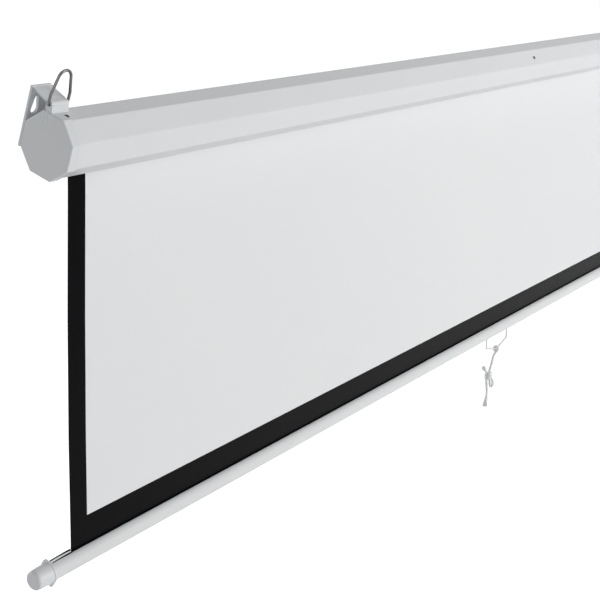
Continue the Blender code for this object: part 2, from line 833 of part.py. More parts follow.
def make_bush_socket(cap):
    """The round socket in the right lid's boss that holds the idler's bush."""
    radius = IDLER_RADIUS + SEAT_GAP + BUSH_WALL + SEAT_GAP
    low = from_end(1, CAP_END_WALL + BOSS_DEPTH + OVERSHOOT)
    cut(cap, "bush_socket", rod("socket", radius, low, from_end(1, SOCKET_FLOOR)))


def ring_path():
    """The ring in its own plane, up from its pins, with a round top."""
    half = RING_WIDTH / 2
    inner = half - RING_PIN_LENGTH
    top = arc((0.0, RING_HEIGHT - RING_TOP_RADIUS), RING_TOP_RADIUS, radians(20), radians(160), 8)
    right = [(inner, 0.0), (half, 0.0), (half, RING_SHOULDER_HEIGHT), top[0]]
    path = rounded_path(right, RING_WIRE_RADIUS + SEAT_GAP / 2, 3)
    path = [Vector((point.x, 0.0, point.y)) for point in path]
    crown = [Vector((x, 0.0, z)) for x, z in top[1:-1]]
    left = [Vector((-point.x, 0.0, point.z)) for point in reversed(path)]
    return path + crown + left


def make_hanging_ring(side, end, parent):
    pivot = (from_end(side, LUG_INSET + LUG_LENGTH / 2), PIVOT_Y, PIVOT_Z)
    hinge = frame(f"ring_axis_{end}", pivot, RING_LEAN, parent)
    part(f"hanging_ring_{end}", tube("ring", ring_path(), RING_WIRE_RADIUS), CHROME, hinge)


def roller_low():
    return from_end(-1, ROLLER_END_SPACE)


def roller_high():
    return from_end(1, ROLLER_END_SPACE)


def roller_outline():
    """The tube's section, with the grooved rib along it that takes the fabric's edge."""
    half = GROOVE_WIDTH / 2
    mouth = asin(half / ROLLER_RADIUS)
    floor = ROLLER_RADIUS - GROOVE_DEPTH
    outer = arc((0.0, 0.0), ROLLER_RADIUS, pi / 2 + mouth, pi / 2 + 2 * pi - mouth, 30)
    outer += [(half, floor), (-half, floor)]
    rib = half + GROOVE_WALL
    root = asin(rib / ROLLER_BORE_RADIUS)
    inner = arc((0.0, 0.0), ROLLER_BORE_RADIUS, pi / 2 + root, pi / 2 + 2 * pi - root, 30)
    inner += [(rib, floor - GROOVE_WALL), (-rib, floor - GROOVE_WALL)]
    return [outer, inner]


def make_roller_tube(parent):
    low = roller_low() + PLUG_FLANGE + SEAT_GAP
    high = roller_high() - PLUG_FLANGE - SEAT_GAP
    part("roller_tube", prism("roller_tube", roller_outline(), low, high), ALUMINIUM, parent)
    strip = box(
        "roller_spline",
        (-FABRIC_WIDTH / 2, -GROOVE_WIDTH / 2 + SEAT_GAP, ROLLER_RADIUS - GROOVE_DEPTH + SEAT_GAP),
        (FABRIC_WIDTH / 2, GROOVE_WIDTH / 2 - SEAT_GAP, ROLLER_RADIUS - SEAT_GAP),
    )
    part("roller_spline", strip, GREY_PLASTIC, parent, smooth=False)


def make_fabric_roll(parent):
    """The turns still on the roller, as one spiral that ends where the fabric drops."""
    per_turn = 20
    count = int(FABRIC_TURNS * per_turn)
    inner, outer = [], []
    for step in range(count + 1):
        angle = (step - count) * 2 * pi / per_turn
        radius = ROLL_INNER_RADIUS + TURN_PITCH * step / per_turn
        inner.append((radius * cos(angle), radius * sin(angle)))
        outer.append(((radius + TURN_THICKNESS) * cos(angle), (radius + TURN_THICKNESS) * sin(angle)))
    loop = inner + outer[::-1]
    half = FABRIC_WIDTH / 2
    mesh = prism("fabric_roll", [loop], -half, half, whole_ends=False)
    part("fabric_roll", mesh, SCREEN_WHITE, parent)


def plug_body():
    """A flanged plug for the roller's end, turned, its flange at zero and its body along +X."""
    return turned(
        "plug",
        [
            (0.0, PLUG_FLANGE + PLUG_DEPTH),
            (PLUG_RADIUS, PLUG_FLANGE + PLUG_DEPTH),
            (PLUG_RADIUS, PLUG_FLANGE),
            (ROLLER_RADIUS, PLUG_FLANGE),
            (ROLLER_RADIUS, 0.0),
            (0.0, 0.0),
        ],
        1,
        28,
    )


def rib_room(low, high):
    """The space that the grooved rib takes inside the roller."""
    half = GROOVE_WIDTH / 2 + GROOVE_WALL + SEAT_GAP
    floor = ROLLER_RADIUS - GROOVE_DEPTH - GROOVE_WALL - SEAT_GAP
    return box("room", (low, -half, floor), (high, half, ROLLER_RADIUS + OVERSHOOT))


def make_left_plug(parent):
    """The plug that turns on the spindle and carries the pawls' pins."""
    mesh = plug_body()
    mesh.transform(Matrix.Translation((roller_low(), 0.0, 0.0)))
    plug = part("roller_plug_left", mesh, GREY_PLASTIC, parent)
    for step in range(PAWL_COUNT):
        centre = pawl_pivot(step)
        pin = rod("pin", PAWL_PIN_RADIUS, pawl_plane(), roller_low() + INSET, centre, 12)
        join(plug, f"pawl_pin_{step + 1}", pin)
    low = roller_low() + PLUG_FLANGE
    high = low + PLUG_DEPTH + OVERSHOOT
    cut(plug, "left_plug_rib_room", rib_room(low, high))
    cut(plug, "left_plug_bore", rod("bore", BORE_RADIUS, roller_low() - OVERSHOOT, high))


def make_right_plug(parent):
    mesh = plug_body()
    mesh.transform(Matrix.Rotation(pi, 4, "Z"))
    mesh.transform(Matrix.Translation((roller_high(), 0.0, 0.0)))
    plug = part("roller_plug_right", mesh, GREY_PLASTIC, parent)
    high = roller_high() - PLUG_FLANGE
    cut(plug, "right_plug_rib_room", rib_room(high - PLUG_DEPTH - OVERSHOOT, high))
    depth = PLUG_FLANGE + 0.75 * PLUG_DEPTH
    bore = rod(
        "bore", IDLER_RADIUS + SEAT_GAP, roller_high() - depth, roller_high() + OVERSHOOT
    )
    cut(plug, "right_plug_bore", bore)
    pin_low = roller_high() - depth + SEAT_GAP
    pin_high = from_end(1, SOCKET_FLOOR + SEAT_GAP)
    part("idler_pin", rod("idler_pin", IDLER_RADIUS, pin_low, pin_high), STEEL, parent)


def make_idler_bush(parent):
    outer = IDLER_RADIUS + SEAT_GAP + BUSH_WALL
    low, high = from_end(1, CAP_END_WALL + BOSS_DEPTH), from_end(1, SOCKET_FLOOR + SEAT_GAP)
    bush = part("idler_bush", rod("idler_bush", outer, low, high), GREY_PLASTIC, parent)
    bore = rod("bore", IDLER_RADIUS + SEAT_GAP, low - OVERSHOOT, high + OVERSHOOT)
    cut(bush, "idler_bush_bore", bore)


def make_spindle(parent):
    """The fixed rod through the spring, with a flat tang in the left lid."""
    low = from_end(-1, SOCKET_FLOOR + SEAT_GAP)
    high = spring_plug_low() + SPRING_PLUG_LENGTH + SPINDLE_TIP_LENGTH
    spindle = part("spindle", rod("spindle", SPINDLE_RADIUS, low, high), STEEL, parent)
    tang_end = from_end(-1, CAP_END_WALL + BOSS_DEPTH + 2 * SEAT_GAP)
    for sign, name in ((1, "upper"), (-1, "lower")):
        edges = sorted((sign * TANG_THICKNESS / 2, sign * 2 * SPINDLE_RADIUS))
        flat = box(
            "flat",
            (low - OVERSHOOT, -2 * SPINDLE_RADIUS, edges[0]),
            (tang_end, 2 * SPINDLE_RADIUS, edges[1]),
        )
        cut(spindle, f"tang_{name}", flat)


def pawl_plane():
    """X of the outer side of the ratchet and its pawls."""
    return roller_low() - SEAT_GAP - RATCHET_THICKNESS - SEAT_GAP


def pawl_angle(step):
    return pi / 2 + 2 * pi * step / PAWL_COUNT


def pawl_pivot(step):
    angle = pawl_angle(step)
    return (PAWL_PIVOT_RADIUS * cos(angle), PAWL_PIVOT_RADIUS * sin(angle))


def ratchet_outline():
    """A disc with notches: each has a steep side that a pawl lodges against."""
    loop = []
    steps = 28
    for step in range(steps):
        angle = 2 * pi * step / steps
        phase = (angle * RATCHET_NOTCHES / (2 * pi)) % 1.0
        depth = RATCHET_NOTCH_DEPTH * max(0.0, 1.0 - phase / 0.3)
        loop.append(((RATCHET_RADIUS - depth) * cos(angle), (RATCHET_RADIUS - depth) * sin(angle)))
    return loop


def make_ratchet(parent):
    low = pawl_plane() + SEAT_GAP
    mesh = prism("ratchet_disc", [ratchet_outline()], low, low + RATCHET_THICKNESS)
    disc = part("ratchet_disc", mesh, STEEL, parent)
    cut(disc, "ratchet_bore", rod("bore", BORE_RADIUS, low - OVERSHOOT, roller_low()))


def pawl_outline():
    """A teardrop: its eye at zero, its tip reaching along +X of the outline."""
    flank = asin((PAWL_EYE_RADIUS - PAWL_TIP_RADIUS) / PAWL_REACH)
    loop = arc((0.0, 0.0), PAWL_EYE_RADIUS, pi / 2 - flank, 3 * pi / 2 + flank, 8)
    loop += arc((PAWL_REACH, 0.0), PAWL_TIP_RADIUS, -pi / 2 + flank, pi / 2 - flank, 3)
    return loop


def pawl_rest(step):
    """The pawl's angle when its tip rides on the ratchet's rim."""
    contact = RATCHET_RADIUS + SEAT_GAP + PAWL_TIP_RADIUS
    opening = (PAWL_PIVOT_RADIUS**2 + PAWL_REACH**2 - contact**2) / (
        2 * PAWL_PIVOT_RADIUS * PAWL_REACH
    )
    return pawl_angle(step) + pi - asin(sqrt(max(0.0, 1 - opening**2)))


def make_pawls(parent):
    low = pawl_plane() + SEAT_GAP
    for step in range(PAWL_COUNT):
        axis = frame(f"pawl_axis_{step + 1}", (0.0, *pawl_pivot(step)), 0.0, parent)
        mesh = prism("pawl", [pawl_outline()], low, low + RATCHET_THICKNESS)
        mesh.transform(Matrix.Rotation(pawl_rest(step), 4, "X"))
        pawl = part(f"pawl_{step + 1}", mesh, STEEL, axis)
        bore = rod(
            "bore", PAWL_PIN_RADIUS + SEAT_GAP, low - OVERSHOOT, low + 2 * RATCHET_THICKNESS, sides=12
        )
        cut(pawl, f"pawl_bore_{step + 1}", bore)


def spring_start():
    return roller_low() + PLUG_FLANGE + PLUG_DEPTH + SEAT_GAP + SPRING_WIRE_RADIUS


def make_spring(parent):
    """The torsion spring that winds the fabric back up, an even open coil."""
    per_turn = 9
    count = SPRING_TURNS * per_turn
    path = []
    for step in range(count + 1):
        angle = 2 * pi * step / per_turn
        path.append(
            Vector(
                (
                    spring_start() + SPRING_PITCH * step / per_turn,
                    SPRING_RADIUS * cos(angle),
                    SPRING_RADIUS * sin(angle),
                )
            )
        )
    ahead = (path[1] - path[0]).normalized() * 2 * SPRING_WIRE_RADIUS
    behind = (path[-1] - path[-2]).normalized() * 2 * SPRING_WIRE_RADIUS
    path = [path[0] - ahead, *path, path[-1] + behind]
    gap = SPRING_PITCH - 2 * SPRING_WIRE_RADIUS
    print(f"torsion_spring: {SPRING_TURNS} turns, least gap {gap * 1000:.2f} mm")
    part("torsion_spring", tube("torsion_spring", path, SPRING_WIRE_RADIUS, 1), STEEL, parent)


def spring_plug_low():
    return spring_start() + SPRING_PITCH * SPRING_TURNS + SPRING_WIRE_RADIUS + SEAT_GAP


def make_spring_plug(parent):
    """The plug, pinched in the roller, that the spring's moving end turns with."""
    low = spring_plug_low()
    high = low + SPRING_PLUG_LENGTH
    mesh = rod("spring_plug", PLUG_RADIUS, low, high, sides=28)
    plug = part("spring_plug", mesh, GREY_PLASTIC, parent)
    cut(plug, "spring_plug_rib_room", rib_room(low - OVERSHOOT, high + OVERSHOOT))
    cut(plug, "spring_plug_bore", rod("bore", BORE_RADIUS, low - OVERSHOOT, high + OVERSHOOT))


def make_fabric(parent):
    """The drop, from beside the roller down into the weight tube's slot."""
    foot = hem_rod_height() + HEM_ROD_RADIUS + SEAT_GAP
    mesh = box(
        "fabric",
        (-FABRIC_WIDTH / 2, -FABRIC_THICKNESS / 2, foot),
        (FABRIC_WIDTH / 2, FABRIC_THICKNESS / 2, BAR_DROP),
    )
    part("fabric", mesh, SCREEN_WHITE, parent, smooth=False)


def hem_rod_height():
    """The hem rod's centre above the tube's, with the rod up against the slot from inside."""
    return TUBE_RADIUS - TUBE_WALL - HEM_ROD_RADIUS - HEM_ROD_DEPTH


def tube_half_length():
    return FABRIC_WIDTH / 2 + TUBE_OVERHANG


def bail_hole(side):
    """The slot under the tube that a leg of the bail swings in."""
    depth = TUBE_RADIUS - BAIL_PIVOT_DROP
    reach = depth * tan(BAIL_SWING) + BAIL_WIRE_RADIUS / cos(BAIL_SWING) + SEAT_GAP
    wide = BAIL_WIRE_RADIUS + SEAT_GAP
    centre = side * BAIL_HALF_WIDTH
    return box(
        "bail_hole",
        (centre - wide, -reach, -TUBE_RADIUS - OVERSHOOT),
        (centre + wide, reach, -BAIL_PIVOT_DROP),
    )


def make_weight_tube(parent):
    """A round tube, open along its top, with holes below for the bail."""
    mouth = asin(TUBE_SLOT / 2 / TUBE_RADIUS)
    section = arc((0.0, 0.0), TUBE_RADIUS, pi / 2 - mouth, pi / 2 + mouth - 2 * pi, 30)
    mesh = sheet_metal("weight_tube", section[::-1], tube_half_length(), TUBE_WALL)
    made = part("weight_tube", mesh, WHITE_PAINT, parent)
    for side, end in ((-1, "left"), (1, "right")):
        cut(made, f"bail_hole_{end}", bail_hole(side))
    make_hem_rod(parent)


def hem_strip(side):
    """The strip that stands up through the slot beside the fabric, its top edge bowed."""
    low, high = FABRIC_WIDTH / 2 + SEAT_GAP, tube_half_length() - 2 * SEAT_GAP
    middle, half = (low + high) / 2, (high - low) / 2
    top = TUBE_RADIUS + HEM_STRIP_RISE
    outline = [(side * high, hem_rod_height()), (side * low, hem_rod_height())]
    for step in range(9):
        share = step / 4 - 1
        outline.append((side * (middle + half * share), top - HEM_STRIP_BOW * share**2))
    return prism("strip", [outline], -HEM_STRIP_THICKNESS / 2, HEM_STRIP_THICKNESS / 2, "Y")


def make_hem_rod(parent):
    """The rod that holds the fabric's hem in the tube, with a raised strip at each end."""
    half = tube_half_length() - SEAT_GAP
    mesh = rod("hem_rod", HEM_ROD_RADIUS, -half, half, (0.0, hem_rod_height()), 16)
    hem = part("hem_rod", mesh, WHITE_PLASTIC, parent)
    for side, end in ((-1, "left"), (1, "right")):
        join(hem, f"hem_strip_{end}", hem_strip(side))


def flange_outline():
    """A disc with a rounded peak above and one below, which meet the case when it is wound up."""
    peak = BAR_CAP_NUB_RADIUS - BAR_CAP_NUB_ROUND
    spread = (BAR_CAP_FLANGE_RADIUS - BAR_CAP_NUB_ROUND) / peak
    flank = pi / 2 - asin(spread)
    loop = []
    for middle in (pi / 2 - BAR_CAP_NUB_TURN, 3 * pi / 2 - BAR_CAP_NUB_TURN):
        centre = (peak * cos(middle), peak * sin(middle))
        loop += arc(centre, BAR_CAP_NUB_ROUND, middle - flank, middle + flank, 4)
        loop += arc((0.0, 0.0), BAR_CAP_FLANGE_RADIUS, middle + flank, middle + pi - flank, 10)
    return loop


def make_bar_cap(side, end, parent):
    """The tube's end cap: flange with nubs, tapered barrel and a plug under the hem rod."""
    root = tube_half_length() + SEAT_GAP
    mesh = prism("flange", [flange_outline()], side * root, side * (root + BAR_CAP_FLANGE))
    cap = part(f"bar_cap_{end}", mesh, WHITE_PLASTIC, parent)
    centre = (BAR_CAP_END_RADIUS - BAR_CAP_EDGE, BAR_CAP_LENGTH - BAR_CAP_EDGE)
    edge = arc(centre, BAR_CAP_EDGE, pi / 2, 0.0, 4)
    profile = [(0.0, BAR_CAP_LENGTH), *edge, (BAR_CAP_RADIUS, 0.0), (0.0, 0.0)]
    barrel = turned("barrel", profile, 1, 28)
    if side < 0:
        barrel.transform(Matrix.Rotation(pi, 4, "Z"))
    barrel.transform(Matrix.Translation((side * (root + BAR_CAP_FLANGE - INSET), 0.0, 0.0)))
    join(cap, f"barrel_{end}", barrel)
    inner = TUBE_RADIUS - TUBE_WALL - SEAT_GAP
    ends = sorted((side * (root - BAR_CAP_PLUG), side * (root + INSET)))
    plug = prism("plug", [plug_outline(inner)], *ends)
    join(cap, f"bar_plug_{end}", plug)


def plug_outline(radius):
    """A round plug cut flat above, to pass under the hem rod."""
    flat = hem_rod_height() - HEM_ROD_RADIUS - SEAT_GAP
    start = asin(flat / radius)
    return arc((0.0, 0.0), radius, pi - start, 2 * pi + start, 16)


def make_bail(parent):
    """The wire handle: pins inside the tube, straight legs and a shallow point below."""
    low = BAIL_PIVOT_DROP - BAIL_APEX_DROP
    bend = BAIL_PIVOT_DROP - BAIL_BEND_DROP
    half = BAIL_HALF_WIDTH
    corners = [(half + BAIL_PIN_LENGTH, 0.0), (half, 0.0), (half, bend), (0.0, low)]
    corners += [(-x, z) for x, z in corners[-2::-1]]
    path = rounded_path(corners, BAIL_BEND_RADIUS, 4)
    path = [Vector((point.x, 0.0, point.y)) for point in path]
    part("bail_handle", tube("bail_handle", path, BAIL_WIRE_RADIUS), WHITE_PAINT, parent)


def cord_point(across, height):
    """A point in the cord's plane, from the bail's lowest point."""
    apex = BAIL_PIVOT_DROP - BAIL_APEX_DROP
    return Vector((across * cos(CORD_PLANE), across * sin(CORD_PLANE), apex + height))


def make_cord(parent):
    """The hitch round the bail, the cord down to its knot, the knot and the frayed tail."""
    sweep = BAIL_WIRE_RADIUS + SEAT_GAP + CORD_RADIUS
    loop = [
        cord_point(0.0, 0.0) + Vector((0.0, sweep * cos(angle), sweep * sin(angle)))
        for angle in (radians(-80 - 20 * step) for step in range(17))
    ]
    part("cord_hitch", tube("cord_hitch", loop, CORD_RADIUS), CORD_WHITE, parent)
    route = smooth_path([cord_point(*spot) for spot in CORD_ROUTE], 5 * CORD_RADIUS)
    part("pull_cord", tube("pull_cord", route, CORD_RADIUS), CORD_WHITE, parent)
    make_knot(parent)


def make_knot(parent):
    """The tied knot with its loop hanging below and its short end standing beside the cord."""
    turn = Matrix.Rotation(CORD_PLANE, 4, "Z")
    mesh = ball("knot", cord_point(*KNOT_CENTRE), KNOT_RADII, turn)
    knot = part("cord_knot", mesh, CORD_WHITE, parent)
    lobe = ball("lobe", cord_point(*KNOT_LOOP_CENTRE), KNOT_LOOP_RADII, turn, 12, 8)
    join(knot, "knot_lobe", lobe)
    stub = tube("stub", [cord_point(*KNOT_STUB_ROOT), cord_point(*KNOT_STUB_TIP)], CORD_RADIUS)
    join(knot, "knot_stub", stub)
    end = ball("end", cord_point(*KNOT_STUB_TIP), KNOT_STUB_END_RADII, turn, 12, 8)
    join(knot, "knot_stub_end", end)
    make_tail(parent)


def make_tail(parent):
    """The cord below its knot, spreading where the strands are loose."""
    route = smooth_path([cord_point(*spot) for spot in TAIL_ROUTE], 2 * CORD_RADIUS)
    spread = TAIL_END_RADIUS / CORD_RADIUS - 1
    swell = []
    for step in range(len(route)):
        share = max(0.0, step / (len(route) - 1) - TAIL_SPREAD_FROM) / (1 - TAIL_SPREAD_FROM)
        swell.append(1 + spread * share)
    part("cord_tail", tube("cord_tail", route, CORD_RADIUS, 1, swell), CORD_WHITE, parent)


clear_scene()
PARTS = collection("projector_screen")
CUTTERS = collection("cutters")

WHITE_PAINT = finish("white_paint", (0.83, 0.84, 0.85), 0.32)
WHITE_PLASTIC = finish("white_plastic", (0.80, 0.81, 0.82), 0.42)
GREY_PLASTIC = finish("grey_plastic", (0.45, 0.46, 0.47), 0.5)
SCREEN_WHITE = finish("screen_white", (0.88, 0.88, 0.88), 0.85)
CORD_WHITE = finish("cord_white", (0.86, 0.85, 0.84), 0.9)
CHROME = finish("chrome", (0.70, 0.71, 0.72), 0.15, 1.0)
STEEL = finish("steel", (0.52, 0.53, 0.54), 0.35, 1.0)
ZINC = finish("zinc", (0.60, 0.61, 0.62), 0.4, 1.0)
ALUMINIUM = finish("aluminium", (0.72, 0.73, 0.74), 0.35, 1.0)

case_frame = frame("case_frame", CASE_CENTRE, CASE_TILT)
roller_axis = frame("roller_axis", CASE_CENTRE)
bar_frame = frame("bar_frame", BAR_CENTRE)
bail_axis = frame("bail_axis", (0.0, 0.0, -BAIL_PIVOT_DROP), 0.0, bar_frame)

make_case_shell(case_frame)
make_tang_socket(make_end_cap(-1, "left", case_frame))
make_bush_socket(make_end_cap(1, "right", case_frame))
make_screws(case_frame)
make_centre_clip(case_frame)
for ring_side, ring_end in ((-1, "left"), (1, "right")):
    make_hanging_ring(ring_side, ring_end, case_frame)

make_spindle(case_frame)
make_ratchet(case_frame)
make_spring(case_frame)
make_idler_bush(case_frame)

make_roller_tube(roller_axis)
make_fabric_roll(roller_axis)
make_left_plug(roller_axis)
make_right_plug(roller_axis)
make_spring_plug(roller_axis)
make_pawls(roller_axis)

make_fabric(bar_frame)
make_weight_tube(bar_frame)
for bar_side, bar_end in ((-1, "left"), (1, "right")):
    make_bar_cap(bar_side, bar_end, bar_frame)
make_bail(bail_axis)
make_cord(bail_axis)
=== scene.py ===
"""Pull-down projector screen, hanging from its rings and drawn part of the way down."""

import json
from math import atan2, cos, pi, radians, sin, sqrt

import bmesh
import bpy
from mathutils import Matrix, Vector


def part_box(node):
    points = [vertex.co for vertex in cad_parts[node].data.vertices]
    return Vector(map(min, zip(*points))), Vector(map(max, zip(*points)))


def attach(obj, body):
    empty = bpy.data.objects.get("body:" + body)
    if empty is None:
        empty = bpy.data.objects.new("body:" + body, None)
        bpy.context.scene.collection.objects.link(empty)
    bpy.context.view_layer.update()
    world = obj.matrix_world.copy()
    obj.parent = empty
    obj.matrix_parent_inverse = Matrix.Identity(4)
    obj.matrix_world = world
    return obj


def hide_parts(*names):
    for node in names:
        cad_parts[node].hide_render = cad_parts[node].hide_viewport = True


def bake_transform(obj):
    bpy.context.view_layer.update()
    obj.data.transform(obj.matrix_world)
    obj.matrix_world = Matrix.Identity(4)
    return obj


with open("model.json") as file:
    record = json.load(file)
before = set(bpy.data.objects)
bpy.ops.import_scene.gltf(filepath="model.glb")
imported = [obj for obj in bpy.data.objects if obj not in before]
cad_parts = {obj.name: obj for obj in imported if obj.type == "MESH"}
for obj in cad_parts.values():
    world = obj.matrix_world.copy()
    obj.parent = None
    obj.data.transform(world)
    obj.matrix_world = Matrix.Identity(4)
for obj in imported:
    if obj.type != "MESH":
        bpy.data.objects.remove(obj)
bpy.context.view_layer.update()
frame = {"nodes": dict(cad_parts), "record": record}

# The two ends of the screen, by their side along X
ENDS = ((-1, "left"), (1, "right"))

# Places and sizes taken from the CAD model, in metres, the rings' pivot in the case's own frame
CASE_CENTRE = Vector((0.0, 0.015893, -0.078587))
CASE_TILT = radians(17.2)
CASE_PLACE = Matrix.Translation(CASE_CENTRE) @ Matrix.Rotation(CASE_TILT, 4, "X")
FABRIC_HALF_WIDTH = 1.135
FABRIC_PLANE = CASE_CENTRE.y + 0.01862
FABRIC_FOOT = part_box("fabric")[0].z
FABRIC_THICKNESS = 0.0004
BORDER_SIDE = 0.0275
BORDER_LINE = CASE_CENTRE.z - 0.4422
BAR_CENTRE = Vector((0.0, FABRIC_PLANE, CASE_CENTRE.z - 0.4877))
BAIL_HINGE_DROP = 0.008
BAIL_DEPTH = 0.0415
BAIL_AXIS = BAR_CENTRE - Vector((0.0, 0.0, BAIL_HINGE_DROP))
BAIL_LOW = BAIL_AXIS.z + BAIL_HINGE_DROP - BAIL_DEPTH
BAIL_WIRE_RADIUS = 0.0015
RING_LEAN = radians(2.2)
RING_PIVOT = (1.1722, 0.0095, 0.0422)
RING_WIRE_RADIUS = 0.00165
CORD_RADIUS = 0.0025
CORD_TURN = radians(-56.5)


# Materials


def new_group(name, inputs, outputs):
    """An empty shader group with named number sockets, and its two end nodes."""
    group = bpy.data.node_groups.new(name, "ShaderNodeTree")
    sockets, number = group.interface, "NodeSocketFloat"
    for socket_name, value in inputs.items():
        made = sockets.new_socket(name=socket_name, socket_type=number, in_out="INPUT")
        made.default_value = value
    for socket_name in outputs:
        sockets.new_socket(name=socket_name, socket_type=number, in_out="OUTPUT")
    return group, group.nodes.new("NodeGroupInput"), group.nodes.new("NodeGroupOutput")


def combined(tree, operation, first, second):
    """A maths node fed by two sockets, or by a socket and a number."""
    made = tree.nodes.new("ShaderNodeMath")
    made.operation = operation
    for index, value in enumerate((first, second)):
        if isinstance(value, float):
            made.inputs[index].default_value = value
        else:
            tree.links.new(value, made.inputs[index])
    return made.outputs["Value"]


def mottle_group():
    """Slow and fine unevenness: a height for a bump and a mask for the colour."""
    scales = {"Fine Scale": 1200.0, "Slow Scale": 6.0}
    group, given, made = new_group("mottle", scales, ("Height", "Mask"))
    nodes, links = group.nodes, group.links
    place = nodes.new("ShaderNodeTexCoord")
    fine = nodes.new("ShaderNodeTexNoise")
    fine.inputs["Detail"].default_value = 3.0
    slow = nodes.new("ShaderNodeTexNoise")
    slow.inputs["Detail"].default_value = 4.0
    slow.inputs["Roughness"].default_value = 0.6
    for noise, scale, use in ((fine, "Fine Scale", "Height"), (slow, "Slow Scale", "Mask")):
        links.new(place.outputs["Object"], noise.inputs["Vector"])
        links.new(given.outputs[scale], noise.inputs["Scale"])
        links.new(noise.outputs["Fac"], made.inputs[use])
    return group


def weave_group():
    """Plain weave: threads along X and Z, as a height for a bump."""
    group, given, made = new_group("weave", {"Threads": 1500.0}, ("Height",))
    nodes, links = group.nodes, group.links
    place = nodes.new("ShaderNodeTexCoord")
    heights = []
    for direction in ("X", "Z"):
        wave = nodes.new("ShaderNodeTexWave")
        wave.bands_direction = direction
        wave.inputs["Distortion"].default_value = 0.6
        wave.inputs["Detail"].default_value = 1.0
        links.new(place.outputs["Object"], wave.inputs["Vector"])
        links.new(given.outputs["Threads"], wave.inputs["Scale"])
        heights.append(wave.outputs["Fac"])
    links.new(combined(group, "MULTIPLY", *heights), made.inputs["Height"])
    return group


MOTTLE = mottle_group()
WEAVE = weave_group()

# The mottle's masks that give the whole shade and the whole colour
SHADE_END = 0.3
COLOUR_END = 0.7

# The depth of the surface's relief, in metres, at a bump of one
RELIEF_DEPTH = 0.0003


def finish(
    name,
    colour,
    shade,
    roughness,
    bump,
    metallic=0.0,
    fine=1200.0,
    slow=6.0,
    woven=False,
    **more,
):
    """A finish whose colour wanders a little between two shades, over a fine or woven relief."""
    made = bpy.data.materials.new(name)
    made.use_nodes = True
    nodes, links = made.node_tree.nodes, made.node_tree.links
    shader = nodes["Principled BSDF"]
    shader.inputs["Roughness"].default_value = roughness
    shader.inputs["Metallic"].default_value = metallic
    for socket_name, value in more.items():
        shader.inputs[socket_name.replace("_", " ")].default_value = value
    mottle = nodes.new("ShaderNodeGroup")
    mottle.node_tree = MOTTLE
    mottle.inputs["Fine Scale"].default_value = fine
    mottle.inputs["Slow Scale"].default_value = slow
    ramp = nodes.new("ShaderNodeValToRGB")
    dark_end, light_end = ramp.color_ramp.elements
    dark_end.position = SHADE_END
    dark_end.color = (*shade, 1.0)
    light_end.position = COLOUR_END
    light_end.color = (*colour, 1.0)
    links.new(mottle.outputs["Mask"], ramp.inputs["Fac"])
    links.new(ramp.outputs["Color"], shader.inputs["Base Color"])
    relief = nodes.new("ShaderNodeBump")
    relief.inputs["Strength"].default_value = bump
    relief.inputs["Distance"].default_value = RELIEF_DEPTH
    height = mottle.outputs["Height"]
    if woven:
        threads = nodes.new("ShaderNodeGroup")
        threads.node_tree = WEAVE
        height = threads.outputs["Height"]
    links.new(height, relief.inputs["Height"])
    links.new(relief.outputs["Normal"], shader.inputs["Normal"])
    return made


WHITE_PAINT = finish(
    "white_paint",
    colour=(0.80, 0.805, 0.815),
    shade=(0.785, 0.79, 0.80),
    roughness=0.36,
    bump=0.05,
    fine=900.0,
    Specular_IOR_Level=0.4,
)
BAR_PAINT = finish(
    "bar_paint",
    colour=(0.805, 0.81, 0.81),
    shade=(0.79, 0.795, 0.795),
    roughness=0.38,
    bump=0.05,
    fine=900.0,
    Specular_IOR_Level=0.2,
)
WHITE_PLASTIC = finish(
    "white_plastic",
    colour=(0.78, 0.785, 0.80),
    shade=(0.76, 0.77, 0.785),
    roughness=0.42,
    bump=0.08,
    fine=2200.0,
)
GREY_PLASTIC = finish(
    "grey_plastic",
    colour=(0.42, 0.43, 0.44),
    shade=(0.39, 0.40, 0.41),
    roughness=0.5,
    bump=0.1,
    fine=2000.0,
)
CLOTH_FRONT = finish(
    "cloth_front",
    colour=(0.87, 0.87, 0.87),
    shade=(0.855, 0.86, 0.865),
    roughness=0.9,
    bump=0.15,
    slow=3.0,
    woven=True,
)
CLOTH_BORDER = finish(
    "cloth_border",
    colour=(0.0020, 0.0020, 0.0026),
    shade=(0.0013, 0.0013, 0.0018),
    roughness=0.2,
    bump=0.1,
    slow=9.0,
    woven=True,
    Specular_IOR_Level=0.028,
    Specular_Tint=(0.92, 0.92, 1.0, 1.0),
)
CLOTH_BACK = finish(
    "cloth_back",
    colour=(0.026, 0.026, 0.028),
    shade=(0.021, 0.021, 0.023),
    roughness=0.8,
    bump=0.2,
    woven=True,
)
CORD = finish(
    "cord",
    colour=(0.93, 0.93, 0.93),
    shade=(0.86, 0.86, 0.86),
    roughness=0.85,
    bump=0.25,
    fine=3500.0,
    slow=900.0,
)
# Chrome whose colour is set far darker than real chrome, standing in for the dark surroundings it would
# reflect: painted reflection
CHROME_PAINTED_DARK = finish(
    "chrome",
    colour=(0.16, 0.16, 0.165),
    shade=(0.11, 0.11, 0.115),
    roughness=0.16,
    bump=0.01,
    metallic=1.0,
)
STEEL = finish(
    "steel",
    colour=(0.50, 0.51, 0.52),
    shade=(0.42, 0.43, 0.44),
    roughness=0.36,
    bump=0.05,
    metallic=1.0,
    slow=60.0,
)
ZINC = finish(
    "zinc",
    colour=(0.34, 0.34, 0.35),
    shade=(0.26, 0.26, 0.27),
    roughness=0.4,
    bump=0.05,
    metallic=1.0,
    slow=300.0,
)
DARK_STEEL = finish(
    "dark_steel",
    colour=(0.085, 0.085, 0.09),
    shade=(0.05, 0.05, 0.055),
    roughness=0.45,
    bump=0.05,
    metallic=1.0,
    slow=300.0,
)
ALUMINIUM = finish(
    "aluminium",
    colour=(0.70, 0.71, 0.72),
    shade=(0.66, 0.67, 0.68),
    roughness=0.38,
    bump=0.04,
    metallic=1.0,
    slow=40.0,
)


# Making and fitting


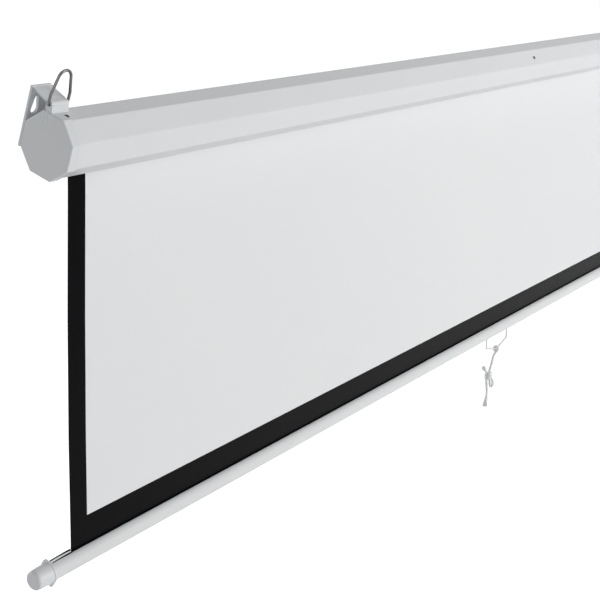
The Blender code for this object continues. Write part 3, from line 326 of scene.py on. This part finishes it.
def into_scene(name, data):
    """A new object with the data, linked to the scene."""
    made = bpy.data.objects.new(name, data)
    bpy.context.scene.collection.objects.link(made)
    return made


def piece(name, mesh, materials, body, stands_for=(), smooth=40):
    """A finished piece of the screen. One that is given no body is not attached here."""
    made = into_scene(name, mesh)
    for material in materials:
        mesh.materials.append(material)
    mesh.shade_smooth()
    mesh.set_sharp_from_angle(angle=radians(smooth))
    if body:
        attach(made, body)
    if stands_for:
        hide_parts(*stands_for)
    return made


def mesh_from(name, work):
    """The bmesh as a named mesh."""
    mesh = bpy.data.meshes.new(name)
    work.to_mesh(mesh)
    work.free()
    return mesh


def joined(name, meshes):
    """Several meshes as one."""
    work = bmesh.new()
    for mesh in meshes:
        work.from_mesh(mesh)
        bpy.data.meshes.remove(mesh)
    return mesh_from(name, work)


def of_kind(things, kind):
    """The vertices, or the edges, among what an operator gives back."""
    return [thing for thing in things if isinstance(thing, kind)]


def steady_normals(made):
    """Keeps the wide flats flat beside their rounded edges."""
    step = made.modifiers.new("flats", "WEIGHTED_NORMAL")
    step.keep_sharp = True
    return made


# What counts as one point, as one flat, as a hard corner and as too short to ease
WELD_GAP = 0.000002
FLAT_ANGLE = radians(1.0)
HARD_ANGLE = radians(30)
SHORT_EDGE = 0.0025


def to_be_eased(line):
    """Whether an edge is a hard corner and long enough to be rounded over."""
    hard = len(line.link_faces) == 2 and line.calc_face_angle(0.0) > HARD_ANGLE
    return hard and line.calc_length() > SHORT_EDGE


def softened(node, name, material, body, edge=0.0):
    """A moulded or pressed piece: the CAD solid, with its long hard edges eased by edge."""
    work = bmesh.new()
    work.from_mesh(frame["nodes"][node].data)
    bmesh.ops.remove_doubles(work, verts=work.verts, dist=WELD_GAP)
    bmesh.ops.dissolve_limit(work, angle_limit=FLAT_ANGLE, verts=work.verts, edges=work.edges)
    if edge:
        bmesh.ops.bevel(
            work,
            geom=[line for line in work.edges if to_be_eased(line)],
            offset=edge,
            offset_type="OFFSET",
            segments=2,
            profile=0.5,
            affect="EDGES",
            clamp_overlap=True,
            material=-1,
        )
    made = piece(name, mesh_from(name, work), [material], body, (node,), smooth=50)
    return steady_normals(made)


def arc(centre, radius, start, end, steps):
    """Points round a part of a circle."""
    return [
        (
            centre[0] + radius * cos(start + (end - start) * step / steps),
            centre[1] + radius * sin(start + (end - start) * step / steps),
        )
        for step in range(steps + 1)
    ]


def between(a, b, c, d, t):
    """The point at t of the way from b to c, on a smooth curve through a, b, c and d."""
    slope = c - a
    bend = 2 * a - 5 * b + 4 * c - d
    turn = 3 * b - a - 3 * c + d
    return 0.5 * (2 * b + slope * t + bend * t * t + turn * t**3)


def smooth_route(knots, spacing):
    """Points at even steps on a smooth curve through the knots."""
    knots = [Vector(knot) for knot in knots]
    ends = [2 * knots[0] - knots[1], *knots, 2 * knots[-1] - knots[-2]]
    route = []
    for a, b, c, d in zip(ends, ends[1:], ends[2:], ends[3:]):
        steps = max(1, round((c - b).length / spacing))
        route += [between(a, b, c, d, step / steps) for step in range(steps)]
    route.append(knots[-1])
    return route


def spread(route, spacing):
    """The same line with points at close, even steps."""
    made = [route[0]]
    for first, second in zip(route, route[1:]):
        steps = max(1, round((second - first).length / spacing))
        made += [first.lerp(second, (step + 1) / steps) for step in range(steps)]
    return made


def steady_frames(route):
    """Each point of a route with its direction and a side that doesn't turn about it."""
    last = len(route) - 1
    ahead = [
        (route[min(step + 1, last)] - route[max(step - 1, 0)]).normalized() for step in range(last + 1)
    ]
    side = ahead[0].orthogonal().normalized()
    frames = []
    for step, (spot, direction) in enumerate(zip(route, ahead)):
        if step:
            side = ahead[step - 1].rotation_difference(direction) @ side
        side = (side - side.dot(direction) * direction).normalized()
        frames.append((spot, direction, side.copy()))
    return frames


# How far the groove between two strands goes in, as a share of the radius
STRAND_GROOVE = 0.11


def sweep(name, route, radius, sides=16, lobes=0, twist=0.0, swell=None):
    """A round wire, or a cord with laid strands, drawn along a route."""
    work = bmesh.new()
    ring = bmesh.ops.create_circle(work, cap_ends=False, segments=sides, radius=1.0)["verts"]
    angles = {vert: atan2(vert.co.y, vert.co.x) for vert in ring}
    edges = work.edges[:]
    travelled = 0.0
    before = route[0]
    for step, (spot, direction, side) in enumerate(steady_frames(route)):
        if step:
            travelled += (spot - before).length
            out = bmesh.ops.extrude_edge_only(work, edges=edges)["geom"]
            edges = of_kind(out, bmesh.types.BMEdge)
            fresh = set(of_kind(out, bmesh.types.BMVert))
            angles = {
                edge.other_vert(vert): angle
                for vert, angle in angles.items()
                for edge in vert.link_edges
                if edge.other_vert(vert) in fresh
            }
        before = spot
        up = direction.cross(side)
        size = radius * (swell(step / (len(route) - 1)) if swell else 1.0)
        for vert, angle in angles.items():
            reach = size * (1.0 - STRAND_GROOVE * (0.5 - 0.5 * cos(lobes * angle)))
            turned = angle + twist * travelled
            vert.co = spot + reach * (cos(turned) * side + sin(turned) * up)
    bmesh.ops.edgeloop_fill(work, edges=[edge for edge in work.edges if edge.is_boundary])
    bmesh.ops.remove_doubles(work, verts=work.verts, dist=0.000001)
    bmesh.ops.recalc_face_normals(work, faces=work.faces)
    return mesh_from(name, work)


# Camera


def camera_as_photographed():
    """The photograph's view: close by the left end, looking along the case."""
    yaw, pitch, roll = radians(56.827), radians(10.818), radians(1.452)
    ahead = Vector((sin(yaw) * cos(pitch), cos(yaw) * cos(pitch), -sin(pitch)))
    right = Vector((cos(yaw), -sin(yaw), 0.0))
    up = right.cross(ahead)
    side = right * cos(roll) + up * sin(roll)
    top = up * cos(roll) - right * sin(roll)
    lens = bpy.data.cameras.new("camera")
    lens.lens = 79.44
    lens.sensor_width = 36.0
    lens.shift_y = -0.2
    lens.clip_start = 0.05
    lens.clip_end = 200.0
    made = into_scene("camera", lens)
    place = CASE_CENTRE + Vector((-2.170532, -0.957345, 0.228682))
    made.matrix_world = Matrix.Translation(place) @ Matrix((side, top, -ahead)).transposed().to_4x4()
    bpy.context.scene.camera = made


camera_as_photographed()


# Pull cord

# The spacing of its points, its sides and strands, and the length in which a strand goes once round
CORD_STEP = 0.0012
CORD_SIDES = 18
CORD_STRANDS = 3
CORD_LAY = 0.015

# The loose strands' radius, and the turn from one to the next that spreads them evenly
LOOSE_STRAND_RADIUS = 0.00062
GOLDEN_ANGLE = 2.39996


def cord_point(across, height, depth=0.0):
    """A point from the bail's lowest one, in the plane that the cord hangs in or off it by a depth."""
    place = Vector((across * cos(CORD_TURN), across * sin(CORD_TURN), height))
    place += depth * Vector((-sin(CORD_TURN), cos(CORD_TURN), 0.0))
    return Vector((0.0, BAIL_AXIS.y, BAIL_LOW)) + place


def rope(name, route, stands_for=(), swell=None):
    """A stretch of the three-strand cord."""
    mesh = sweep(
        name,
        route,
        CORD_RADIUS,
        sides=CORD_SIDES,
        lobes=CORD_STRANDS,
        twist=2 * pi / CORD_LAY,
        swell=swell,
    )
    return piece(name, mesh, [CORD], "bail", stands_for)


def cord_route(spots):
    """A smooth route through places in the cord's own plane."""
    return smooth_route([cord_point(*spot) for spot in spots], CORD_STEP)


def make_hitch():
    """Two turns of the cord round the bail's lowest point, its lead drawn down."""
    turns, steps = 1.9, 52
    left_side, width, slack = -0.0022, 0.0045, 0.0002
    reach = BAIL_WIRE_RADIUS + slack + CORD_RADIUS
    route = [cord_point(across=-0.0004, height=-0.0072)]
    for step in range(steps + 1):
        angle = radians(-90) - 2 * pi * turns * step / steps
        along = left_side + width * step / steps
        route.append(Vector((along, BAIL_AXIS.y + reach * cos(angle), BAIL_LOW + reach * sin(angle))))
    return rope("cord_hitch_rope", route, ("cord_hitch",))


def make_knot():
    """The drawn-up knot: the cord wrapped over itself in slanting turns."""
    middle_across, middle_height = -0.0117, -0.0527
    turns, steps, start = 3.1, 75, radians(200)
    widest, narrowing = 0.0050, 0.0016
    top, length, slant = 0.0064, 0.0132, 0.34
    route = []
    for step in range(steps + 1):
        share = step / steps
        angle = start + 2 * pi * turns * share
        reach = widest - narrowing * abs(2 * share - 1) ** 3
        across = reach * cos(angle)
        height = top - length * share + slant * across
        route.append(cord_point(middle_across + across, middle_height + height, reach * sin(angle)))
    return rope("cord_knot_rope", route, ("cord_knot",))


def make_loop():
    """The bight that hangs out of the knot, below on the right."""
    spots = (
        (-0.0096, -0.0560, -0.0010),
        (-0.0088, -0.0620, -0.0018),
        (-0.0082, -0.0684, -0.0012),
        (-0.0072, -0.0722, 0.0),
        (-0.0052, -0.0732, 0.0004),
        (-0.0032, -0.0710, 0.0004),
        (-0.0026, -0.0662, 0.0),
        (-0.0040, -0.0606, -0.0006),
        (-0.0074, -0.0552, -0.0006),
    )
    return rope("cord_loop_rope", cord_route(spots))


def whipped(share):
    """How thick the stub is along its length: it swells to its whipped tip."""
    start, width, growth = 0.4, 0.25, 0.65
    return 1.0 + growth * min(1.0, max(0.0, share - start) / width) ** 2


def make_stub():
    """The cord's short end, standing out of the knot at the upper left, whipped at its tip."""
    spots = (
        (-0.0130, -0.0490),
        (-0.0158, -0.0450),
        (-0.0190, -0.0398),
        (-0.0218, -0.0356),
    )
    return rope("cord_stub_rope", cord_route(spots), swell=whipped)


def loosened(share):
    """How thick the tail is along its length: it opens towards its end."""
    start, growth = 0.8, 0.5
    return 1.0 + growth * max(0.0, share - start) / (1.0 - start)


def make_tail():
    """The tail below the knot."""
    spots = (
        (-0.0132, -0.0545, -0.0020),
        (-0.0152, -0.0600, -0.0010),
        (-0.0145, -0.0680),
        (-0.0129, -0.0807),
        (-0.0133, -0.0940),
        (-0.0141, -0.1010),
    )
    return rope("cord_tail_rope", cord_route(spots), ("cord_tail",), swell=loosened)


def make_loose_strands():
    """The strands that come loose at the tail's end, spread evenly over its section."""
    root_across, root_height = -0.0137, -0.0985
    count, steps, length, drift = 26, 8, 0.0132, 0.0015
    bundle, opening, turning = 0.0026, 0.0022, 0.5
    waver, waves = 0.0002, 3.1
    strands = []
    for index in range(count):
        turn = GOLDEN_ANGLE * index
        place = sqrt((index + 0.5) / count)
        route = []
        for step in range(steps + 1):
            t = step / steps
            reach = place * (bundle + opening * t) + waver * sin(waves * t + turn)
            across = root_across - drift * t + reach * cos(turn + turning * t)
            route.append(cord_point(across, root_height - length * t, reach * sin(turn + turning * t)))
        strands.append(sweep("cord_strand", route, LOOSE_STRAND_RADIUS, sides=7))
    return piece("cord_strands", joined("cord_strands", strands), [CORD], "bail")


def make_cord():
    """The lead from the hitch to the knot, with all that is tied on it."""
    knots = (
        (0.0, -0.0066),
        (-0.0032, -0.0112),
        (-0.0048, -0.0170),
        (-0.0064, -0.0270),
        (-0.0090, -0.0380),
        (-0.01025, -0.04435),
    )
    route = cord_route(knots)
    lead = rope("pull_cord_rope", route, ("pull_cord",))
    extras = [make_hitch(), make_knot(), make_loop(), make_stub(), make_tail(), make_loose_strands()]


make_cord()


# Fabric

# The drop's six strips end at these shares of the way from the roller to the lower border
DROP_SHARES = (0.0, 0.06, 0.2, 0.5, 0.8, 0.94, 1.0)
ROW_HEIGHT = 0.015
BORDER_ROWS = 4
SAME_PLACE = 0.0001

# As shares of the way down: where the waves start and end, and over how much they grow and fade
WAVES_START, WAVES_GROW = 0.12, 0.3
WAVES_END, WAVES_FADE = 0.97, 0.25

# The cloth's mean lean to the rear, its waves as rate, phase and share, and the curl of its sides
MEAN_LEAN = 0.85
WAVES = ((5.3, 0.8, 0.6), (11.7, 2.1, 0.25))
WAVE_HEIGHT = 0.0006
CURL_HEIGHT = 0.0010
CURL_WIDTH = 0.075

# Each layer of the black hem, which also stands in for the shadow lines along the bar's slot as painted
# shadow, by its name, its depth behind the cloth and its top over the bar's centre
HEM_AND_SHADOW_LAYERS = (("rear", 0.0012, 0.0145), ("front", -0.0012, 0.0116))
HEM_FOOT = 0.0098
HEM_OVERHANG = 0.0334
HEM_OVERLAP = 0.0002
HEM_DROOP = 0.0012
HEM_STEPS = 12


def strip_mesh(name, high, low, rows):
    """A width of the cloth between two heights, with its black side borders."""
    work = bmesh.new()
    inner, count = 1.1, 44
    border = FABRIC_HALF_WIDTH - BORDER_SIDE
    columns = [-FABRIC_HALF_WIDTH, -border]
    columns += [-inner + 2 * inner * step / count for step in range(1, count)]
    columns += [border, FABRIC_HALF_WIDTH]
    line = [work.verts.new((x, FABRIC_PLANE, high)) for x in columns]
    edges = [work.edges.new(pair) for pair in zip(line, line[1:])]
    for _ in range(rows):
        out = bmesh.ops.extrude_edge_only(work, edges=edges)["geom"]
        edges = of_kind(out, bmesh.types.BMEdge)
        moved = of_kind(out, bmesh.types.BMVert)
        bmesh.ops.translate(work, verts=moved, vec=(0.0, 0.0, (low - high) / rows))
    work.normal_update()
    if sum(face.normal.y for face in work.faces) > 0:
        bmesh.ops.reverse_faces(work, faces=work.faces)
    for face in work.faces:
        middle = face.calc_center_median()
        face.material_index = 1 if abs(middle.x) > border or middle.z < BORDER_LINE else 0
    return mesh_from(name, work)


def clamped(share):
    """The share, kept between none and all."""
    return max(0.0, min(1.0, share))


def hang(mesh):
    """The slight waves of cloth that hangs by its own weight from the roller to the bar."""
    for vert in mesh.vertices:
        down = (CASE_CENTRE.z - vert.co.z) / (CASE_CENTRE.z - FABRIC_FOOT)
        free = clamped((down - WAVES_START) / WAVES_GROW) * clamped((WAVES_END - down) / WAVES_FADE)
        wave = MEAN_LEAN
        for rate, phase, share in WAVES:
            wave += sin(vert.co.x * rate + phase) * share
        curl = max(0.0, abs(vert.co.x) - FABRIC_HALF_WIDTH + CURL_WIDTH) / CURL_WIDTH
        vert.co.y += free * (WAVE_HEIGHT * wave + CURL_HEIGHT * curl * curl)


def cloth(name, high, low, rows):
    """A strip of the hanging cloth, with crisp edges where it is cut."""
    mesh = strip_mesh(name, high, low, rows)
    hang(mesh)
    made = piece(name, mesh, [CLOTH_FRONT, CLOTH_BORDER, CLOTH_BACK], None, ("fabric",))
    for edge in mesh.edges:
        first, second = (mesh.vertices[index].co for index in edge.vertices)
        level = abs(first.z - second.z) < SAME_PLACE
        at_end = min(abs(first.z - high), abs(first.z - low)) < SAME_PLACE
        at_side = abs(abs(first.x) - FABRIC_HALF_WIDTH) < SAME_PLACE
        edge.use_edge_sharp = (level and at_end) or (not level and at_side)
    return made


def cloth_body(made):
    """Front, border and back of one thin coated cloth."""
    step = made.modifiers.new("cloth", "SOLIDIFY")
    step.thickness = FABRIC_THICKNESS
    step.offset = 0.0
    step.use_rim = True
    step.material_offset = 2
    step.material_offset_rim = 1
    steady_normals(made)


def hem_and_shadow_layer(name, side, depth, top):
    """One layer of the black hem where it stands out of the slot, past the cloth's side edge: partly
    the cloth's hem, partly a dark sheet put in for the shadow lines along the slot, which is painted
    shadow.
    """
    inner, outer = FABRIC_HALF_WIDTH - HEM_OVERLAP, FABRIC_HALF_WIDTH + HEM_OVERHANG
    work = bmesh.new()
    places = [inner + (outer - inner) * step / HEM_STEPS for step in range(HEM_STEPS + 1)]
    foot = [work.verts.new((side * x, BAR_CENTRE.y + depth, BAR_CENTRE.z + HEM_FOOT)) for x in places]
    edges = [work.edges.new(pair) for pair in zip(foot, foot[1:])]
    raised = bmesh.ops.extrude_edge_only(work, edges=edges)["geom"]
    for vert in of_kind(raised, bmesh.types.BMVert):
        share = (abs(vert.co.x) - inner) / (outer - inner)
        vert.co.z = BAR_CENTRE.z + top - HEM_DROOP * share**2
    bmesh.ops.recalc_face_normals(work, faces=work.faces)
    bmesh.ops.solidify(work, geom=work.faces[:], thickness=FABRIC_THICKNESS)
    bmesh.ops.recalc_face_normals(work, faces=work.faces)
    return piece(name, mesh_from(name, work), [CLOTH_BORDER], "weight_bar")


def make_drop():
    """The cloth from the roller to its lower border, made as strips fixed where they are drawn."""
    top = CASE_CENTRE.z
    drop = top - BORDER_LINE
    for index, (first, second) in enumerate(zip(DROP_SHARES, DROP_SHARES[1:])):
        high, low = top - first * drop, top - second * drop
        rows = max(2, round((high - low) / ROW_HEIGHT))
        made = cloth(f"cloth_drop_{index + 1}", high, low, rows)
        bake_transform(made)
        cloth_body(made)


def make_lower_border():
    """The black lower border, which keeps to the bar, with the hem's ends in the bar's slot; the hem's
    black layers also give painted shadow along the slot.
    """
    foot = cloth("cloth_lower_border", BORDER_LINE, FABRIC_FOOT, BORDER_ROWS)
    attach(foot, "weight_bar")
    cloth_body(foot)
    hem_and_shadow_pieces = [
        hem_and_shadow_layer(f"hem_{place}_{end}", side, depth, top)
        for side, end in ENDS
        for place, depth, top in HEM_AND_SHADOW_LAYERS
    ]


make_drop()
make_lower_border()


# Hanging rings and bail


def ring_route(side):
    """One leg out of the lug, over the round top and down the other leg."""
    half, shoulder, top = 0.0143, 0.010, 0.0376
    crown_radius, bend_radius, foot, lean = 0.0095, 0.010, 0.008, radians(14.1)
    corner_radius = RING_WIRE_RADIUS
    corner_centre = (half - corner_radius, corner_radius)
    corner = arc(corner_centre, corner_radius, radians(-90), 0.0, steps=6)
    bend = arc((half - bend_radius, shoulder), bend_radius, 0.0, lean, steps=3)
    crown = arc((0.0, top - crown_radius), crown_radius, radians(20), radians(160), steps=18)
    leg = [(half - foot, 0.0), *corner, *bend]
    outline = leg + crown + [(-x, z) for x, z in reversed(leg)]
    seat = CASE_PLACE @ Matrix.Translation((side * RING_PIVOT[0], *RING_PIVOT[1:]))
    seat = seat @ Matrix.Rotation(RING_LEAN, 4, "X")
    return [seat @ Vector((x, 0.0, z)) for x, z in outline]


def make_rings():
    """The two chromed hanging rings."""
    for side, end in ENDS:
        mesh = sweep(f"ring_{end}", spread(ring_route(side), spacing=0.0015), RING_WIRE_RADIUS)
        replaced = (f"hanging_ring_{end}",)
        piece(f"ring_wire_{end}", mesh, [CHROME_PAINTED_DARK], f"ring_{end}", replaced, smooth=60)


def rounded(corners, radius, steps):
    """A bent line through corners."""
    least_cut = 0.2
    corners = [Vector((x, 0.0, z)) for x, z in corners]
    route = [corners[0]]
    for before, corner, after in zip(corners, corners[1:], corners[2:]):
        back, ahead = (before - corner).normalized(), (after - corner).normalized()
        reach = radius / max(least_cut, (1.0 - back.dot(-ahead)) ** 0.5)
        start, end = corner + back * reach, corner + ahead * reach
        for step in range(steps + 1):
            t = step / steps
            route.append(start * (1 - t) ** 2 + corner * 2 * t * (1 - t) + end * t * t)
    route.append(corners[-1])
    return route


def make_bail():
    """The wire handle, its two ends turned out into the bar's holes."""
    half, peg, side_drop = 0.043, 0.008, 0.030
    bend, low = BAIL_HINGE_DROP - side_drop, BAIL_HINGE_DROP - BAIL_DEPTH
    corners = [(half + peg, 0.0), (half, 0.0), (half, bend), (0.0, low)]
    corners += [(-x, z) for x, z in corners[-2::-1]]
    route = [BAIL_AXIS + spot for spot in rounded(corners, radius=0.0022, steps=5)]
    mesh = sweep("bail", spread(route, spacing=0.002), BAIL_WIRE_RADIUS)
    piece("bail_wire", mesh, [WHITE_PAINT], "bail", ("bail_handle",), smooth=60)


make_rings()
make_bail()


# Case, end caps and weight bar

LID_EDGE = 0.0004
BAR_END_EDGE = 0.0003

# A box round the shallow groove in an end cap's face, in the case's own frame
GROOVE_LOW = (1.1840, 0.0030, 0.0175)
GROOVE_HIGH = (1.2, 0.0130, 0.0355)
CREASE_ANGLE = radians(5)


def in_groove(spot):
    """Whether a point in the case's frame is on either end's groove."""
    spot = Vector((abs(spot.x), spot.y, spot.z))
    return all(low < value < high for low, value, high in zip(GROOVE_LOW, spot, GROOVE_HIGH))


def crease_groove(made):
    """Keeps the shallow groove in an end cap's face crisp."""
    to_case = CASE_PLACE.inverted()
    work = bmesh.new()
    work.from_mesh(made.data)
    for line in work.edges:
        within = all(in_groove(to_case @ vert.co) for vert in line.verts)
        if within and line.calc_face_angle(0.0) > CREASE_ANGLE:
            line.smooth = False
    work.to_mesh(made.data)
    work.free()


def make_end(end):
    """One end of the screen: the end cap with its wall plate, the bar's cap and the screw."""
    lid = softened(f"end_cap_{end}", f"lid_{end}", WHITE_PLASTIC, "case", LID_EDGE)
    crease_groove(lid)
    cap, name = f"bar_cap_{end}", f"bar_end_{end}"
    softened(cap, name, WHITE_PLASTIC, "weight_bar", BAR_END_EDGE)
    softened(f"cap_screw_{end}", f"lid_screw_{end}", DARK_STEEL, "case")


softened("case_shell", "case_skin", WHITE_PAINT, "case")
make_end("left")
make_end("right")
softened("centre_screw", "shell_screw", DARK_STEEL, "case")
softened("weight_tube", "bar_tube", BAR_PAINT, "weight_bar")
softened("hem_rod", "hem_strip", WHITE_PLASTIC, "weight_bar")
softened("fabric_roll", "cloth_roll", CLOTH_BACK, "roller")

FINISHES = {
    "white_plastic": WHITE_PLASTIC,
    "white_paint": WHITE_PAINT,
    "grey_plastic": GREY_PLASTIC,
    "screen_white": CLOTH_FRONT,
    "cord_white": CORD,
    "chrome": CHROME_PAINTED_DARK,
    "steel": STEEL,
    "zinc": ZINC,
    "aluminium": ALUMINIUM,
}


def dress_nodes():
    """Every CAD node gets the finish of its slot."""
    slots = {entry["node"]: entry["material_slot"] for entry in frame["record"]["subparts"]}
    for name, node in frame["nodes"].items():
        material = FINISHES[slots[name]]
        if not node.data.materials:
            node.data.materials.append(material)
        for index in range(len(node.material_slots)):
            node.material_slots[index].material = material


dress_nodes()


# Floor and light

WHITE = (1.0, 1.0, 1.0, 1.0)
SKY_TINT = (0.95, 0.985, 1.0, 1.0)
SKY_AT_HORIZON = 0.55
SKY_OVERHEAD = 0.13
FLOOR_HEIGHT = -1.75
FLOOR_REACH = 30.0
FLOOR_TINT = (0.78, 0.78, 0.78, 1.0)
FLOOR_LIFT = 0.84


def ray_mix(tree):
    """One where a ray comes from the camera, a mirror or a clear piece, and zero for light."""
    path = tree.nodes.new("ShaderNodeLightPath")
    seen = combined(tree, "MAXIMUM", path.outputs["Is Camera Ray"], path.outputs["Is Glossy Ray"])
    return combined(tree, "MAXIMUM", seen, path.outputs["Is Transmission Ray"])


def make_world():
    """A white backdrop, and a soft light that is stronger from the sides than from above."""
    world = bpy.data.worlds.new("world")
    bpy.context.scene.world = world
    world.use_nodes = True
    tree = world.node_tree
    soft = tree.nodes["Background"]
    soft.inputs["Color"].default_value = SKY_TINT
    direction = tree.nodes.new("ShaderNodeTexCoord")
    height = tree.nodes.new("ShaderNodeSeparateXYZ")
    tree.links.new(direction.outputs["Generated"], height.inputs["Vector"])
    fade = tree.nodes.new("ShaderNodeMapRange")
    fade.inputs["From Min"].default_value = 0.0
    fade.inputs["From Max"].default_value = 1.0
    fade.inputs["To Min"].default_value = SKY_AT_HORIZON
    fade.inputs["To Max"].default_value = SKY_OVERHEAD
    tree.links.new(height.outputs["Z"], fade.inputs["Value"])
    tree.links.new(fade.outputs["Result"], soft.inputs["Strength"])
    white = tree.nodes.new("ShaderNodeBackground")
    white.inputs["Color"].default_value = WHITE
    white.inputs["Strength"].default_value = 1.0
    mix = tree.nodes.new("ShaderNodeMixShader")
    tree.links.new(ray_mix(tree), mix.inputs["Fac"])
    tree.links.new(soft.outputs["Background"], mix.inputs[1])
    tree.links.new(white.outputs["Background"], mix.inputs[2])
    tree.links.new(mix.outputs["Shader"], tree.nodes["World Output"].inputs["Surface"])


def make_floor():
    """A plain pale floor, far below the screen."""
    work = bmesh.new()
    bmesh.ops.create_grid(work, x_segments=1, y_segments=1, size=FLOOR_REACH)
    bmesh.ops.translate(work, verts=work.verts, vec=(0.0, 0.0, FLOOR_HEIGHT))
    floor = into_scene("floor", mesh_from("floor", work))
    material = bpy.data.materials.new("floor")
    material.use_nodes = True
    tree = material.node_tree
    shader = tree.nodes["Principled BSDF"]
    shader.inputs["Base Color"].default_value = FLOOR_TINT
    shader.inputs["Roughness"].default_value = 0.9
    shader.inputs["Emission Color"].default_value = WHITE
    lift = combined(tree, "MULTIPLY", ray_mix(tree), FLOOR_LIFT)
    tree.links.new(lift, shader.inputs["Emission Strength"])
    floor.data.materials.append(material)


def lamp(name, place, target, size, power):
    """A soft box that faces its target."""
    light = bpy.data.lights.new(name, "AREA")
    light.shape = "RECTANGLE"
    light.size, light.size_y = size
    light.energy = power
    made = into_scene(name, light)
    made.location = place
    made.rotation_euler = (Vector(target) - Vector(place)).to_track_quat("-Z", "Y").to_euler()


make_world()
make_floor()
lamp("front_light", place=(1.0, -4.4, 0.65), target=(0.3, 0.0, -0.3), size=(2.8, 1.8), power=114.0)
lamp("side_light", place=(-3.4, -1.0, 0.1), target=(-1.18, 0.0, -0.1), size=(1.6, 1.2), power=7.5)
lamp("back_light", place=(-0.6, 4.4, -0.1), target=(0.0, 0.0, -0.2), size=(3.0, 1.6), power=70.0)

bpy.context.scene.view_settings.view_transform = "Standard"
